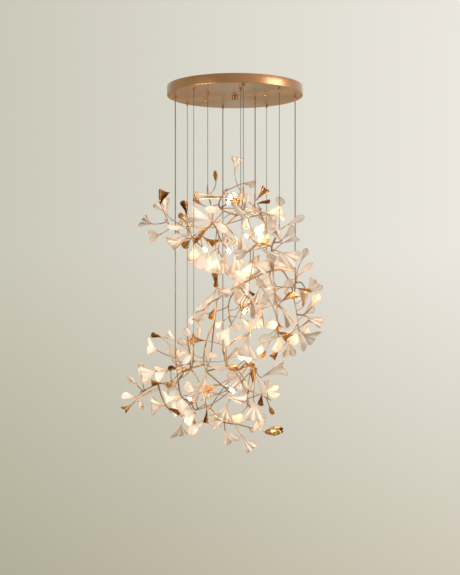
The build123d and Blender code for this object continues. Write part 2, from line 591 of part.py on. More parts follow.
def past(before, last):
    """A point a little past the last one, on the same straight line."""
    reach = 1 + OVERRUN / math.dist(before, last)
    return tuple(b + (e - b) * reach for b, e in zip(before, last))


def half_width_at(kind, share, width):
    """The half width of a leaf at a share of its length."""
    half = width / 2
    if kind == "bud":
        table = [(a, b * half) for a, b in BUD_SHARES]
    else:
        root = min(ROOT_WIDTH / 2, half)
        rows = [row for row in OUTLINE_SHARES[kind][1:] if row[1] > 0]
        table = [(0.0, root)] + [(a, root + b * (half - root)) for a, b in rows]
    return float(np.interp(share, [t[0] for t in table], [t[1] for t in table]))


def leaf_points(kind, length, width):
    """Points spread over a leaf, in its own frame."""
    points = []
    count = max(2, math.ceil(length / SAMPLE_STEP))
    for k in range(1, count + 1):
        share = k / count
        half = half_width_at(kind, share, width)
        across = max(1, math.ceil(half / SAMPLE_STEP))
        for j in range(-across, across + 1):
            y = half * j / across
            points.append((share * length, y, rise_at(kind, share, y, length, width)))
    return np.array(points)


def rise_at(kind, share, y, length, width):
    """How far a leaf's face rises at a point."""
    if kind in FOLD_SHARES:
        return FOLD_SHARES[kind] * 2 * abs(y)
    if kind == "bud":
        return 0.0
    table = CURL_SHARES[kind]
    return length * float(np.interp(share, [t[0] for t in table], [t[1] for t in table]))


def leaf_frame(direction, lean, turn):
    """Heading, side and face directions of a leaf."""
    a, b, c = (math.radians(v) for v in (direction, lean, turn))
    heading = np.array([math.cos(a) * math.cos(b), math.sin(b), math.sin(a) * math.cos(b)])
    flat_side = np.array([-math.sin(a), 0.0, math.cos(a)])
    flat_face_out = np.cross(heading, flat_side)
    side = math.cos(c) * flat_side + math.sin(c) * flat_face_out
    return heading, side, np.cross(heading, side)


def between(a, b, step):
    """Points from a to b no further apart than the step."""
    count = max(1, math.ceil(np.linalg.norm(b - a) / step))
    return [a + (b - a) * k / count for k in range(count + 1)]


def with_room(points, room):
    """The points with the room that they keep as a fourth column."""
    points = np.array(points)
    return np.hstack([points, np.full((len(points), 1), room)])


def shifted(crowd):
    """A crowd at every height that one tier can stand at beside another."""
    count = math.ceil(TIER_TRAVEL / SAMPLE_STEP)
    shifts = [TIER_TRAVEL * k / count for k in range(-count, count + 1)]
    return np.vstack([crowd + np.array([0, 0, s, 0]) for s in shifts])


def clearance(points, room, crowd):
    """The least gap between points and a crowd, past the room that both keep."""
    if not len(crowd) or not len(points):
        return math.inf
    middle = points.mean(axis=0)
    reach = np.linalg.norm(points - middle, axis=1).max() + room + SAMPLE_STEP + LAMP_ROOM
    near = crowd[np.linalg.norm(crowd[:, :3] - middle, axis=1) < reach + crowd[:, 3]]
    if not len(near):
        return math.inf
    gaps = np.linalg.norm(points[:, None, :] - near[None, :, :3], axis=2)
    return float((gaps - near[None, :, 3]).min() - room)


def foot_table(paths):
    """Where twigs may stand: points on branch lines, with each side's face direction."""
    feet = []
    runs = [run for points in paths for run in zip(points, points[1:])]
    for points in paths:
        rings = bar_rings(points, STEM_RADIUS, STEM_SIDES)
        for a, b, corners in zip(points, points[1:], rings):
            run = unit(b - a)
            flats = []
            for k in range(STEM_SIDES):
                edge = corners[(k + 1) % STEM_SIDES] - corners[k]
                out = np.cross(edge, run)
                middle = (corners[k] + corners[(k + 1) % STEM_SIDES]) / 2
                out = unit(out) * math.copysign(1, np.dot(out, middle - a))
                flats.append(out)
            beside = [line_points(*other) for other in runs if other[0] is not a]
            for spot in between(a, b, FOOT_STEP):
                ends = min(np.linalg.norm(spot - a), np.linalg.norm(spot - b))
                joints = min(np.linalg.norm(line - spot, axis=1).min() for line in beside)
                if min(ends, joints) > FOOT_CLEAR_OF_JOINT:
                    feet.append((spot, flats))
    return feet


def line_points(a, b):
    return np.array(between(a, b, SAMPLE_STEP))


def foot_choices(feet, neck, heading):
    """The best few feet for a twig that ends at the neck and points along the heading."""
    apothem = STEM_RADIUS * math.cos(math.pi / STEM_SIDES)
    choices = []
    for spot, flats in feet:
        reach = neck - spot
        distance = np.linalg.norm(reach)
        if distance < SHORTEST_TWIG:
            continue
        way = reach / distance
        out = max(flats, key=lambda f: np.dot(f, way))
        facing = np.dot(out, way)
        if facing < LEAST_FACING:
            continue
        straight = np.dot(way, heading)
        if straight < LEAST_AHEAD:
            continue
        cost = distance * (AHEAD_WEIGHT - straight) * (FACING_WEIGHT - FACING_GAIN * facing)
        choices.append((cost, spot + out * apothem, out))
    choices.sort(key=lambda c: c[0])
    return choices[:FEET_TRIED]


def twig_line(foot, neck, heading):
    """A twig's points: straight where it can be, else with a knee below the leaf."""
    if np.dot(unit(neck - foot), heading) > STRAIGHT_ENOUGH:
        return [foot, neck]
    return [foot, neck - heading * KNEE_LENGTH, neck]


def lamp_line(tier, arm):
    """The two points of a lamp arm."""
    return [seen_place(tier, s[0], s[1], s[2] * SPRAY_DEPTH) for s in arm]


def place_leaves():
    """Each leaf of each tier, set at the first depth where it clears what stands there."""
    paths = {t: [stem_points(t, p) for p in STEM_SHARES[t]] for t in TIERS}
    arms = {t: [lamp_line(t, a) for a in LAMP_SHARES[t]] for t in TIERS}
    cables = []
    for name in GRIPPER_SHARES:
        end = cable_end(name)
        top = np.array([end[0], end[1], -CANOPY_HEIGHT])
        cables += between(top, end, SAMPLE_STEP)
    cables = with_room(cables, CABLE_ROOM)
    stems = {}
    lamps = {}
    for tier in TIERS:
        line = []
        for points in paths[tier] + arms[tier]:
            for a, b in zip(points, points[1:]):
                line += between(a, b, SAMPLE_STEP)
        stems[tier] = with_room(line, STEM_ROOM)
        glow = []
        for a, b in arms[tier]:
            glow += between(b, b + unit(b - a) * (HOLDER_HEIGHT + LAMP_HEIGHT), SAMPLE_STEP)
        lamps[tier] = with_room(glow, LAMP_ROOM)
    placed = {}
    done = {}
    tight = 0
    for tier in TIERS:
        feet = foot_table(paths[tier])
        others = [shifted(np.vstack([stems[t], lamps[t]])) for t in TIERS if t != tier]
        others += [shifted(done[t]) for t in done]
        wide = np.vstack(others + [cables, lamps[tier]])
        pieces = np.empty((0, 4))
        rows = [(row, "porcelain") for row in PORCELAIN_SHARES[tier]]
        rows += [(row, "gold") for row in GOLD_SHARES[tier]]
        placed[tier] = []
        for index, (row, finish) in enumerate(rows):
            best = best_leaf(tier, index, row, feet, stems[tier], wide, pieces)
            if best is None or best[0] < 0:
                tight += 1
            if best is None:
                continue
            leaf, twig = best[1], best[2]
            pieces = np.vstack([pieces, leaf_crowd(leaf), twig_crowd(twig)])
            placed[tier].append((leaf, twig, finish))
        done[tier] = pieces
    print("leaves", sum(len(p) for p in placed.values()), "short of room", tight)
    return paths, arms, placed


def world_points(leaf):
    """A leaf's sample points where it stands."""
    kind, length, width, neck, heading, side, out = leaf
    local = leaf_points(kind, length, width)
    return neck + local @ np.array([heading, side, out])


def leaf_crowd(leaf):
    return with_room(world_points(leaf), LEAF_ROOM)


def twig_samples(line, skip):
    """Points along a twig past a first stretch."""
    points = []
    for a, b in zip(line, line[1:]):
        points += between(a, b, SAMPLE_STEP / 2)
    return np.array([p for p in points if np.linalg.norm(p - line[0]) >= skip])


def twig_crowd(twig):
    return with_room(twig_samples(twig[0], 0), TWIG_ROOM)


def best_leaf(tier, index, row, feet, stems, wide, pieces):
    """The first clear place for a leaf and its twig, or else the clearest."""
    across, up, away, direction, length, width, kind = row
    lean = LEAN_SWING * math.sin(math.radians(index * LEAN_STEP))
    turn = TURN_SWING * math.sin(math.radians(index * TURN_STEP))
    heading, side, out = leaf_frame(direction, lean, turn)
    length = length * SPRAY_SPAN / math.cos(math.radians(lean))
    width = width * SPRAY_SPAN / math.cos(math.radians(turn))
    best = None
    for k in range(2 * DEPTH_STEPS + 1):
        shift = DEPTH_STEP * ((k + 1) // 2) * (1 if k % 2 else -1)
        neck = seen_place(tier, across, up, away * SPRAY_DEPTH + shift)
        leaf = (kind, length, width, neck, heading, side, out)
        body = world_points(leaf)
        gap = min(
            clearance(body, LEAF_ROOM, wide),
            clearance(body, LEAF_ROOM, pieces),
            clearance(body, LEAF_ROOM, stems),
        )
        if best is not None and gap <= best[0]:
            continue
        for cost, foot, flat in foot_choices(feet, neck, heading):
            line = twig_line(foot, neck, heading)
            near = twig_samples(line, 0)
            far = twig_samples(line, CLEAR_OF_STEM)
            twig_gap = min(
                gap,
                clearance(near, TWIG_ROOM, wide),
                clearance(near, TWIG_ROOM, pieces),
                clearance(far, TWIG_ROOM, stems),
            )
            if best is None or twig_gap > best[0]:
                best = (twig_gap, leaf, (line, flat))
            if twig_gap >= 0:
                return best
    return best


def build_pan():
    """The open pan, with a hole for each gripper, stud and the centre nipple."""
    outside = Pos(0, 0, -CANOPY_HEIGHT) * extrude(Circle(CANOPY_RADIUS), CANOPY_HEIGHT)
    inside = Pos(0, 0, PAN_WALL - CANOPY_HEIGHT) * extrude(
        Circle(CANOPY_RADIUS - PAN_WALL), CANOPY_HEIGHT
    )
    foot = -CANOPY_HEIGHT - OVERRUN
    deep = PAN_WALL + 2 * OVERRUN
    holes = [
        prism(SHANK_RADIUS + HOLE_GAP, deep, SHANK_FLATS, *gripper_place(name), foot)
        for name in GRIPPER_SHARES
    ]
    for share in STUD_SHARES:
        x, y = (CANOPY_RADIUS * s for s in share)
        holes.append(prism(STUD_RADIUS + HOLE_GAP, deep, GRIPPER_FLATS, x, y, foot))
    holes.append(prism(NIPPLE_RADIUS + HOLE_GAP, deep, GRIPPER_FLATS, z=foot))
    return outside - inside - holes


def stud_places():
    return [(CANOPY_RADIUS * x, CANOPY_RADIUS * y) for x, y in STUD_SHARES]


def build_bracket():
    """A flat bar under the ceiling, from stud to stud."""
    (x1, y1), (x2, y2) = stud_places()
    length = math.dist((x1, y1), (x2, y2)) + 2 * BRACKET_OVERHANG
    turn = math.degrees(math.atan2(y2 - y1, x2 - x1))
    middle = ((x1 + x2) / 2, (y1 + y2) / 2)
    plate = extrude(Rectangle(length, BRACKET_WIDTH), BRACKET_THICK)
    quarter = CEILING_SCREW_PITCH / 4
    for x in (-CEILING_SCREW_PITCH / 2, CEILING_SCREW_PITCH / 2):
        plate -= Pos(x, 0, 0) * extrude(Circle(CEILING_SCREW_RADIUS + HOLE_GAP), BRACKET_THICK)
    plate -= Pos(quarter, 0, 0) * extrude(Circle(MAINS_HOLE_RADIUS), BRACKET_THICK)
    plate = Pos(*middle, -BRACKET_THICK) * Rot(0, 0, turn) * plate
    return plate


def build_studs():
    """Threaded studs from the bracket down into the cap nuts."""
    foot = -CANOPY_HEIGHT - CAP_NUT_HEIGHT + CAP_NUT_ROOF
    return [
        prism(STUD_RADIUS, -BRACKET_THICK - foot, GRIPPER_FLATS, x, y, foot)
        for x, y in stud_places()
    ]


def build_cap_nuts():
    """Turned nuts that clamp the pan up to the ceiling."""
    nuts = []
    for x, y in stud_places():
        foot = -CANOPY_HEIGHT - CAP_NUT_HEIGHT
        nut = prism(CAP_NUT_RADIUS, CAP_NUT_HEIGHT, GRIPPER_FLATS, x, y, foot)
        nut = chamfer(nut.faces().sort_by(Axis.Z)[0].edges(), GRIPPER_CHAMFER)
        nut -= prism(
            STUD_RADIUS + THREAD_GAP,
            CAP_NUT_HEIGHT - CAP_NUT_ROOF,
            GRIPPER_FLATS,
            x,
            y,
            foot + CAP_NUT_ROOF,
        )
        nuts.append(nut.solid())
    return nuts


def build_boss():
    """The round centre boss, bored for the nipple."""
    boss = prism(BOSS_RADIUS, BOSS_HEIGHT, BOSS_FLATS, z=-CANOPY_HEIGHT - BOSS_HEIGHT)
    depth = BOSS_HEIGHT - BOSS_ROOF
    return boss - prism(NIPPLE_RADIUS + THREAD_GAP, depth, GRIPPER_FLATS, z=-CANOPY_HEIGHT - depth)


def build_nipple():
    """The centre nipple from the bracket down into the boss."""
    foot = -CANOPY_HEIGHT - BOSS_HEIGHT + BOSS_ROOF
    return prism(NIPPLE_RADIUS, -BRACKET_THICK - foot, GRIPPER_FLATS, z=foot)


def build_driver():
    """The lamps' driver, a box with rounded corners on the pan's floor."""
    length, width, height = DRIVER_SIZE
    plan = RectangleRounded(length, width, DRIVER_CORNER)
    return Pos(*DRIVER_PLACE, PAN_WALL - CANOPY_HEIGHT) * extrude(plan, height)


def build_terminal_block():
    """The block where the mains wires meet the driver's, with its screw wells."""
    length, width, height = TERMINAL_SIZE
    block = extrude(Rectangle(length, width), height)
    for x in (-length / 3, 0, length / 3):
        well = prism(TERMINAL_SCREW_RADIUS, TERMINAL_SCREW_DEPTH, SHANK_FLATS, x)
        block -= Pos(0, 0, height - TERMINAL_SCREW_DEPTH) * well
    return Pos(*TERMINAL_PLACE, PAN_WALL - CANOPY_HEIGHT) * block


def cable_radius(name):
    return POWER_CORD_RADIUS if GRIPPER_SHARES[name][3] == "power" else STEEL_CABLE_RADIUS


def bore_top():
    """The height of the blind end of a gripper's bore, where its cable is held."""
    return -CANOPY_HEIGHT - GRIPPER_HEIGHT + GRIPPER_BORE_DEPTH


def build_gripper(name):
    """A gripper body below the pan, with its threaded shank above."""
    x, y = gripper_place(name)
    body = prism(GRIPPER_RADIUS, GRIPPER_HEIGHT, GRIPPER_FLATS, x, y, -CANOPY_HEIGHT - GRIPPER_HEIGHT)
    shank = prism(SHANK_RADIUS, SHANK_HEIGHT, SHANK_FLATS, x, y, -CANOPY_HEIGHT)
    bore = prism(
        PLUNGER_RADIUS + PLUNGER_GAP,
        GRIPPER_BORE_DEPTH,
        SHANK_FLATS,
        x,
        y,
        -CANOPY_HEIGHT - GRIPPER_HEIGHT,
    )
    return (body + shank - bore).solid()


def build_lock_nut(name):
    """The nut on a gripper's shank, inside the pan."""
    x, y = gripper_place(name)
    foot = PAN_WALL - CANOPY_HEIGHT
    nut = prism(LOCK_NUT_RADIUS, LOCK_NUT_HEIGHT, SHANK_FLATS, x, y, foot)
    nut -= prism(SHANK_RADIUS + THREAD_GAP, LOCK_NUT_HEIGHT, SHANK_FLATS, x, y, foot)
    return nut.solid()


def build_plunger(name):
    """The sleeve that is pushed up to let the cable slide."""
    x, y = gripper_place(name)
    top = bore_top() - PLUNGER_TRAVEL - PLUNGER_HEADROOM
    foot = top - PLUNGER_LENGTH
    sleeve = prism(PLUNGER_RADIUS, PLUNGER_LENGTH, SHANK_FLATS, x, y, foot)
    sleeve -= prism(cable_radius(name) + CABLE_GAP, PLUNGER_LENGTH, SHANK_FLATS, x, y, foot)
    return sleeve.solid()


def build_cable(name):
    """A taut cable from its gripper down to its ferrule."""
    x, y = gripper_place(name)
    foot = cable_end(name)[2] + FERRULE_HEIGHT
    return prism(cable_radius(name), bore_top() - foot, CABLE_FLATS, x, y, foot)


def build_ferrules(tier):
    """The crimped sleeves between the cables and the branches."""
    ferrules = []
    for name, share in GRIPPER_SHARES.items():
        if share[2] == tier:
            x, y, z = cable_end(name)
            ferrules.append(prism(FERRULE_RADIUS, FERRULE_HEIGHT, CABLE_FLATS, x, y, z))
    return ferrules


def build_framework(paths, arms):
    """A tier's branches and lamp arms, soldered into one piece."""
    bars = [bar(points, STEM_RADIUS, STEM_SIDES) for points in paths + arms]
    return bars[0].fuse(*bars[1:]).clean()


def build_lamps(arms):
    """Holders at the ends of the lamp arms, and the lamps in them."""
    holders = []
    lamps = []
    for start, end in arms:
        along = unit(end - start)
        plane = Plane(origin=Vector(*end), z_dir=Vector(*along))
        holder = extrude(plane * RegularPolygon(HOLDER_RADIUS, LAMP_FLATS), HOLDER_HEIGHT)
        holders.append(holder.solid())
        face = end + along * HOLDER_HEIGHT
        shoulder = face + along * (LAMP_HEIGHT - LAMP_SHOULDER)
        outline = ((face, LAMP_RADIUS), (shoulder, LAMP_RADIUS), (face + along * LAMP_HEIGHT, LAMP_RADIUS / 2))
        lamps.append(between_rings([ring(c, along, r, LAMP_FLATS) for c, r in outline]))
    return holders, lamps


def build_leaf(leaf, finish):
    """A leaf solid where it stands."""
    kind, length, width, neck, heading, side, out = leaf
    thick = PORCELAIN_THICK if finish == "porcelain" else GOLD_THICK
    plane = Plane(origin=Vector(*neck), x_dir=Vector(*heading), z_dir=Vector(*out))
    return plane.location * leaf_solid(kind, length, width, thick)


def build_twig(leaf, twig):
    """A twig from the flat of a branch to a leaf's root."""
    line, flat = twig
    return bar(line, TWIG_RADIUS, TWIG_SIDES, first_normal=flat, last_normal=leaf[4])


def write(name, solids):
    """Write one node."""
    if not isinstance(solids, list):
        solids = [solids]
    shape = solids[0] if len(solids) == 1 else Compound(children=solids)
    export_step(shape, os.path.join("parts", f"{name}.step"))


def main():
    os.makedirs("parts", exist_ok=True)
    paths, arms, placed = place_leaves()
    write("canopy_pan", build_pan())
    write("ceiling_bracket", build_bracket())
    write("canopy_studs", build_studs())
    write("cap_nuts", build_cap_nuts())
    write("centre_boss", build_boss())
    write("centre_nipple", build_nipple())
    write("lamp_driver", build_driver())
    write("terminal_block", build_terminal_block())
    write("gripper_bodies", [build_gripper(name) for name in GRIPPER_SHARES])
    write("gripper_lock_nuts", [build_lock_nut(name) for name in GRIPPER_SHARES])
    for number, name in enumerate(GRIPPER_SHARES, start=1):
        write(f"gripper_plunger_{number}", build_plunger(name))
        kind = "power_cord" if GRIPPER_SHARES[name][3] == "power" else "steel_cable"
        write(f"{kind}_{number}", build_cable(name))
    for tier in TIERS:
        write(f"{tier}_branches", build_framework(paths[tier], arms[tier]))
        holders, lamps = build_lamps(arms[tier])
        write(f"{tier}_lamp_holders", holders)
        write(f"{tier}_lamps", lamps)
        write(f"{tier}_ferrules", build_ferrules(tier))
        write(f"{tier}_twigs", [build_twig(leaf, twig) for leaf, twig, finish in placed[tier]])
        for wanted in ("porcelain", "gold"):
            leaves = [build_leaf(leaf, f) for leaf, twig, f in placed[tier] if f == wanted]
            write(f"{tier}_{wanted}_leaves", leaves)


main()
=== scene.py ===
import math

import bmesh
import bpy
import numpy as np
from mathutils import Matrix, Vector


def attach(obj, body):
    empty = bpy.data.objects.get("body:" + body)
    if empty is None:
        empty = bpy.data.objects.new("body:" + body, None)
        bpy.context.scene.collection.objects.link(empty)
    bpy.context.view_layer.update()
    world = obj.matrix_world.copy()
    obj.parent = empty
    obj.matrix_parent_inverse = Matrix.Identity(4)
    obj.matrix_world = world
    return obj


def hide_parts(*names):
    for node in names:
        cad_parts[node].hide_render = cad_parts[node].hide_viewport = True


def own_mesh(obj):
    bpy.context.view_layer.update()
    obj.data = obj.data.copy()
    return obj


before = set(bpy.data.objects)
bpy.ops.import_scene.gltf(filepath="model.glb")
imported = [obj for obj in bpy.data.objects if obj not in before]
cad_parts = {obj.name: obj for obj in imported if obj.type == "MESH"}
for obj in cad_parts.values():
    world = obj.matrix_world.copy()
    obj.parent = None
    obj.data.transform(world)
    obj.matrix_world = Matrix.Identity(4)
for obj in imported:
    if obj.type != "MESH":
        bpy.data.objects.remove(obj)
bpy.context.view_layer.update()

# Canopy and its fittings
CANOPY_RADIUS = 0.300
CANOPY_HEIGHT = 0.040
PAN_WALL = 0.0015
PAN_EDGE = 0.0022
PAN_EDGE_STEPS = 7
PAN_BREAK = 0.0005
PAN_BEND = 0.002
STUD_PLACES = ((-0.1329, 0.0651), (0.1314, -0.0531))
CAP_NUT_RADIUS = 0.006
CAP_NUT_HEIGHT = 0.0105
BOSS_RADIUS = 0.0125
BOSS_HEIGHT = 0.018
GRIPPER_RADIUS = 0.0055
GRIPPER_HEIGHT = 0.008
SHANK_RADIUS = 0.0036
SHANK_HEIGHT = 0.007
PLUNGER_RADIUS = 0.0033
PLUNGER_TOP = -0.044
PLUNGER_FOOT = -0.054
PLUNGER_GAP = 0.0002

# Cables
CABLE_RADIUS = {"steel": 0.00125, "power": 0.00225}
CABLE_TOP = -0.0415
CABLE_GAP = 0.0003
STRANDS = {"steel": 6, "power": 0}
STRAND_DEPTH_SHARE = 0.14
STRAND_LAY = 0.020
LAY_STEPS = 12
CABLE_STEP = {"steel": STRAND_LAY / LAY_STEPS, "power": 0.02}
TAUT_SHARES = (0.0, 0.35, 0.7, 1.0)
ROUTE_ORDER = 3
FERRULE_RADIUS = 0.0035
FERRULE_HEIGHT = 0.011

# Branches: their radius tapers, swells a little, has knots and flares where they are soldered
STEM_RADIUS = 0.0030
STEM_TAPER_SHARES = (1.22, 0.80)
ARM_TAPER_SHARES = (1.0, 0.80)
ARM_SAG = 0.004
ARM_SEED = 9
SWELL_SHARES = (0.045, 0.035)
SWELL_LENGTHS = (0.0065, 0.0023)
KNOT_SHARE = 0.16
KNOT_PITCH = 0.058
KNOT_LENGTH = 0.0035
SOLDER_SHARE = 0.35
SOLDER_LENGTH = 0.006
TIP_SOLDER_SHARE = 0.4
TIP_SOLDER_LENGTH = 0.005
DROP_LENGTH = 0.016
LINE_STEP = 0.004
LEAST_STEPS = 3

# Twigs: thicker at the branch and in a collar below the leaf, and curved by a pull at both
# ends, which is weaker on a twig shorter than LED_LENGTH and where it would turn back
TWIG_RADIUS = 0.0017
TWIG_TAPER_SHARES = (1.30, 0.92)
TWIG_SWELL_SHARE = 0.05
TWIG_SWELLS = 31
TWIG_ROOT_SHARE = 0.7
TWIG_ROOT_LENGTH = 0.004
COLLAR_SHARE = 0.95
COLLAR_LENGTH = 0.003
LED_LENGTH = 0.040
PULL_SHARE = 0.33
BACK_PULL_SHARE = 0.35
FOOT_PULL_SHARE = 0.7
LEAST_TWIG_STEPS = 5
END_CORNERS = 4

# Lamps
HOLDER_RADIUS = 0.0065
HOLDER_HEIGHT = 0.013
LAMP_RADIUS = 0.0048
LAMP_HEIGHT = 0.021

# Turned pieces: rows of radius and height, as shares of the piece's own
UNDERSIDE_SHARES = (0.4, 0.8, 0.97)
BOSS_SHARES = ((0, 0), (0.9, 0), (1, 0.0444), (1, 0.1944), (0.936, 0.2333), (0.936, 0.2889), (1, 0.3333),
               (1, 0.9333), (0.904, 1), (0, 1))
CAP_NUT_SHARES = ((0, 0), (0.8, 0), (0.8, 0.1143), (1, 0.1905), (1, 0.7143), (0.86, 0.8857), (0.5, 0.981),
                  (0, 1))
GRIPPER_BODY_SHARES = ((0.92, 0), (1, 0.075), (1, 0.275), (0.891, 0.325), (1, 0.375), (1, 0.8),
                       (0.782, 1))
PLUNGER_SHARES = ((0.97, 0), (0.97, 0.6), (0.82, 0.66), (0.82, 0.72), (1, 0.78), (1, 0.94), (0.818, 1))
FERRULE_SHARES = ((0, 0), (1, 0), (1, 0.2), (0.78, 0.28), (0.78, 0.36), (1, 0.44), (1, 0.62), (0.78, 0.7),
                  (0.78, 0.78), (0.95, 0.86), (0.7, 1), (0, 1))
HOLDER_SHARES = ((0, 0), (0.55, 0), (0.62, 0.1154), (0.9, 0.2308), (1, 0.3231), (1, 0.7692), (0.93, 0.8),
                 (0.93, 0.8769), (1, 0.9077), (1, 1), (0, 1))
BULB_SHARES = ((0, 0), (0.9, 0), (1, 0.0476), (1, 0.55), (0.98, 0.70), (0.86, 0.84), (0.6, 0.94),
               (0.3, 0.99), (0, 1))
KNURLS = {"lobes": 24, "lobe_share": 0.03, "lobed": (3, 4)}
SEGMENTS = {"pan": 192, "boss": 48, "nut": 96, "gripper": 32, "plunger": 24, "ferrule": 20, "holder": 32,
            "bulb": 24}
SIDES = {"steel": 18, "power": 14, "stem": 10, "twig": 8}
UPRIGHT = (0, 0, 1)

# Angles in degrees from which on an edge stays sharp
SHARP_ANGLE = 50.0
PAN_SHARP_ANGLE = 40.0
TURNED_SHARP_ANGLE = 30.0

# The front view in which the sprays' places are given
VIEW_DISTANCE = 4.800
VIEW_DROP = 0.948
VIEW_LEFT = 0.0216
SPRAY_SPAN = 0.441
SPRAY_DEPTH = 0.660
SPAN_HUNDREDTH = SPRAY_SPAN / 100
DEPTH_HUNDREDTH = SPRAY_DEPTH / 100
TIER_DROP = {"upper": 0.544, "middle": 0.853, "lower": 1.338}
LENS = 68.1
SENSOR = 36.0
SHIFT_UP = 0.0252
LEAN_SWING = 34.0
TURN_SWING = 38.0
LEAN_STEP = 137.5
TURN_STEP = 100.0

# Gripper places as shares of the canopy's radius: x, y, the tier it carries, and its cable
GRIPPER_SHARES = {
    "g1": (-0.88, 0.07, "lower", "power"), "g2": (-0.722, 0.543, "lower", "steel"),
    "g3": (-0.584, -0.64, "lower", "steel"), "g4": (-0.395, -0.223, "upper", "steel"),
    "g5": (-0.183, 0.863, "lower", "power"), "g6": (0.08, -0.52, "upper", "steel"),
    "g7": (0.114, -0.873, "upper", "steel"), "g8": (0.301, 0.17, "upper", "power"),
    "g9": (0.491, 0.753, "middle", "steel"), "g10": (0.627, -0.593, "middle", "steel"),
    "g11": (0.893, 0.117, "middle", "power"),
}

# Height at which each cable ends, as a share of SPRAY_SPAN above its tier's middle
CABLE_END_SHARES = {
    "g1": 0.39, "g2": 0.59, "g3": 0.54, "g4": 0.21, "g5": 0.41, "g6": 0.15, "g7": 0.15, "g8": 0.16,
    "g9": 0.36, "g10": 0.51, "g11": -0.03,
}

# Branches: points across and up in hundredths of SPRAY_SPAN, and away in those of SPRAY_DEPTH
STEM_SHARES = {
    "upper": (
        ("g4", (-23, -10, -10), (-41, -28, -5), (-60, -20, 0), (-70, -9, 6)),
        ((-23, -10, -10), (-10, -14, -5), (2, -5, 0), (8.7, -4, 2), (20, -1, 6), (33, -3, 10)),
        ("g8", (20, -1, 6)),
        ("g6", (2, 2, -22), (2, -5, 0)),
        ("g7", (5, -2, -33), (2, 2, -22)),
        ((2, -5, 0), (-15, 3, -2), (-12, 16, 4), (-8, 22, 6)),
        ((-10, -14, -5), (0, -26, -8), (4, -36, -6), (11, -42, -3)),
        ((-23, -10, -10), (-16, -26, 4), (-17, -44, 6)),
        ((20, -1, 6), (26, 2, 22), (24, -6, 34)),
        ((-41, -28, -5), (-46, -22, 12), (-42, -12, 26)),
    ),
    "middle": (
        ("g10", (37, 34, -26), (39, 18, -16), (38, 10, -5), (41, -22, -2), (44, -56, 2)),
        ((37, 34, -26), (24, 37, -22), (13, 29, -14)),
        ("g9", (33, 20, 34), (38, 10, -5)),
        ((38, 10, -5), (47, 10, 0), (56, -5, 5), (58.5, -15, 6), (62, -34, 5), (64, -52, 4)),
        ("g11", (58.5, -15, 6)),
        ((38, 10, -5), (26, 6, -6), (4, -5, -5), (-16, -18, 0), (-21, -30, 2)),
        ((4, -5, -5), (15, -19, -10), (25, -26, -13), (29, -46, -10)),
        ((4, -5, -5), (-6, -22, 8), (-5, -42, 10)),
        ((-16, -18, 0), (-27, -24, 8), (-33, -33, 10)),
        ((56, -5, 5), (66, -2, 14), (72, -12, 22)),
        ((33, 20, 34), (24, 8, 30), (14, 2, 26)),
        ((62, -34, 5), (72, -36, -4), (76, -42, -10)),
    ),
    "lower": (
        ((-19, 86, -13), (-20.5, 70, -11), (-26.5, 56, -7), (-30.5, 40, -3), (-31, 26, 0), (-29, 19, 0),
         (-29.6, -14, 0)),
        ((-20.5, 70, -11), (-22, 55, -4), (-25, 30, 5), (-29, 19, 0)),
        ((-31, 26, 0), (-48.8, 19.7, -5), (-57, 10, 0), (-77, 6, 3), (-95, -2, 5)),
        ("g1", (-57, 10, 0)),
        ("g2", (-45, 22, 16), (-57, 10, 0)),
        ("g3", (-43, 24, -22), (-48.8, 19.7, -5)),
        ("g5", (-6, 22, 26), (2, 20, 2)),
        ((-29, 19, 0), (-8.3, 23.3, 0), (2, 20, 2), (11.3, 8.3, 0), (13.6, 1, 0), (27, -5, -3),
         (36, -10, -5)),
        ((-8.3, 23.3, 0), (-10, 39, 3), (0, 50, 10)),
        ((-29, 19, 0), (-15, 7, 8), (-5, -2, 14)),
        ((-29.6, -14, 0), (-15, -30, -3), (5, -34.5, 0), (18, -38, 2)),
        ((-29.6, -14, 0), (-40, -20, -6), (-54, -26, -6)),
        ((-77, 6, 3), (-72, -9, -6), (-64, -22, -12)),
        ((-57, 10, 0), (-54, -5, 10), (-48, -11, 16)),
        ((13.6, 1, 0), (12, -12, 14), (18, -20, 20)),
        ((2, 20, 2), (14, 24, -12), (22, 22, -22)),
    ),
}

# Lamp arms: where the arm leaves a branch, and where its holder begins
LAMP_SHARES = {
    "upper": (
        ((-16, -26, 4), (-8, -38, -6)), ((-41, -28, -5), (-33, -36, -10)), ((-15, 3, -2), (-8, 7, -10)),
    ),
    "middle": (
        ((15, -19, -10), (11, -28, -18)), ((41, -22, -2), (49, -30, -10)), ((24, 37, -22), (16, 42, -18)),
    ),
    "lower": (
        ((2, 20, 2), (10, 27, 3)), ((-15, 7, 8), (-6, 2, 0)), ((-40, -20, -6), (-44, -11, -12)),
    ),
}

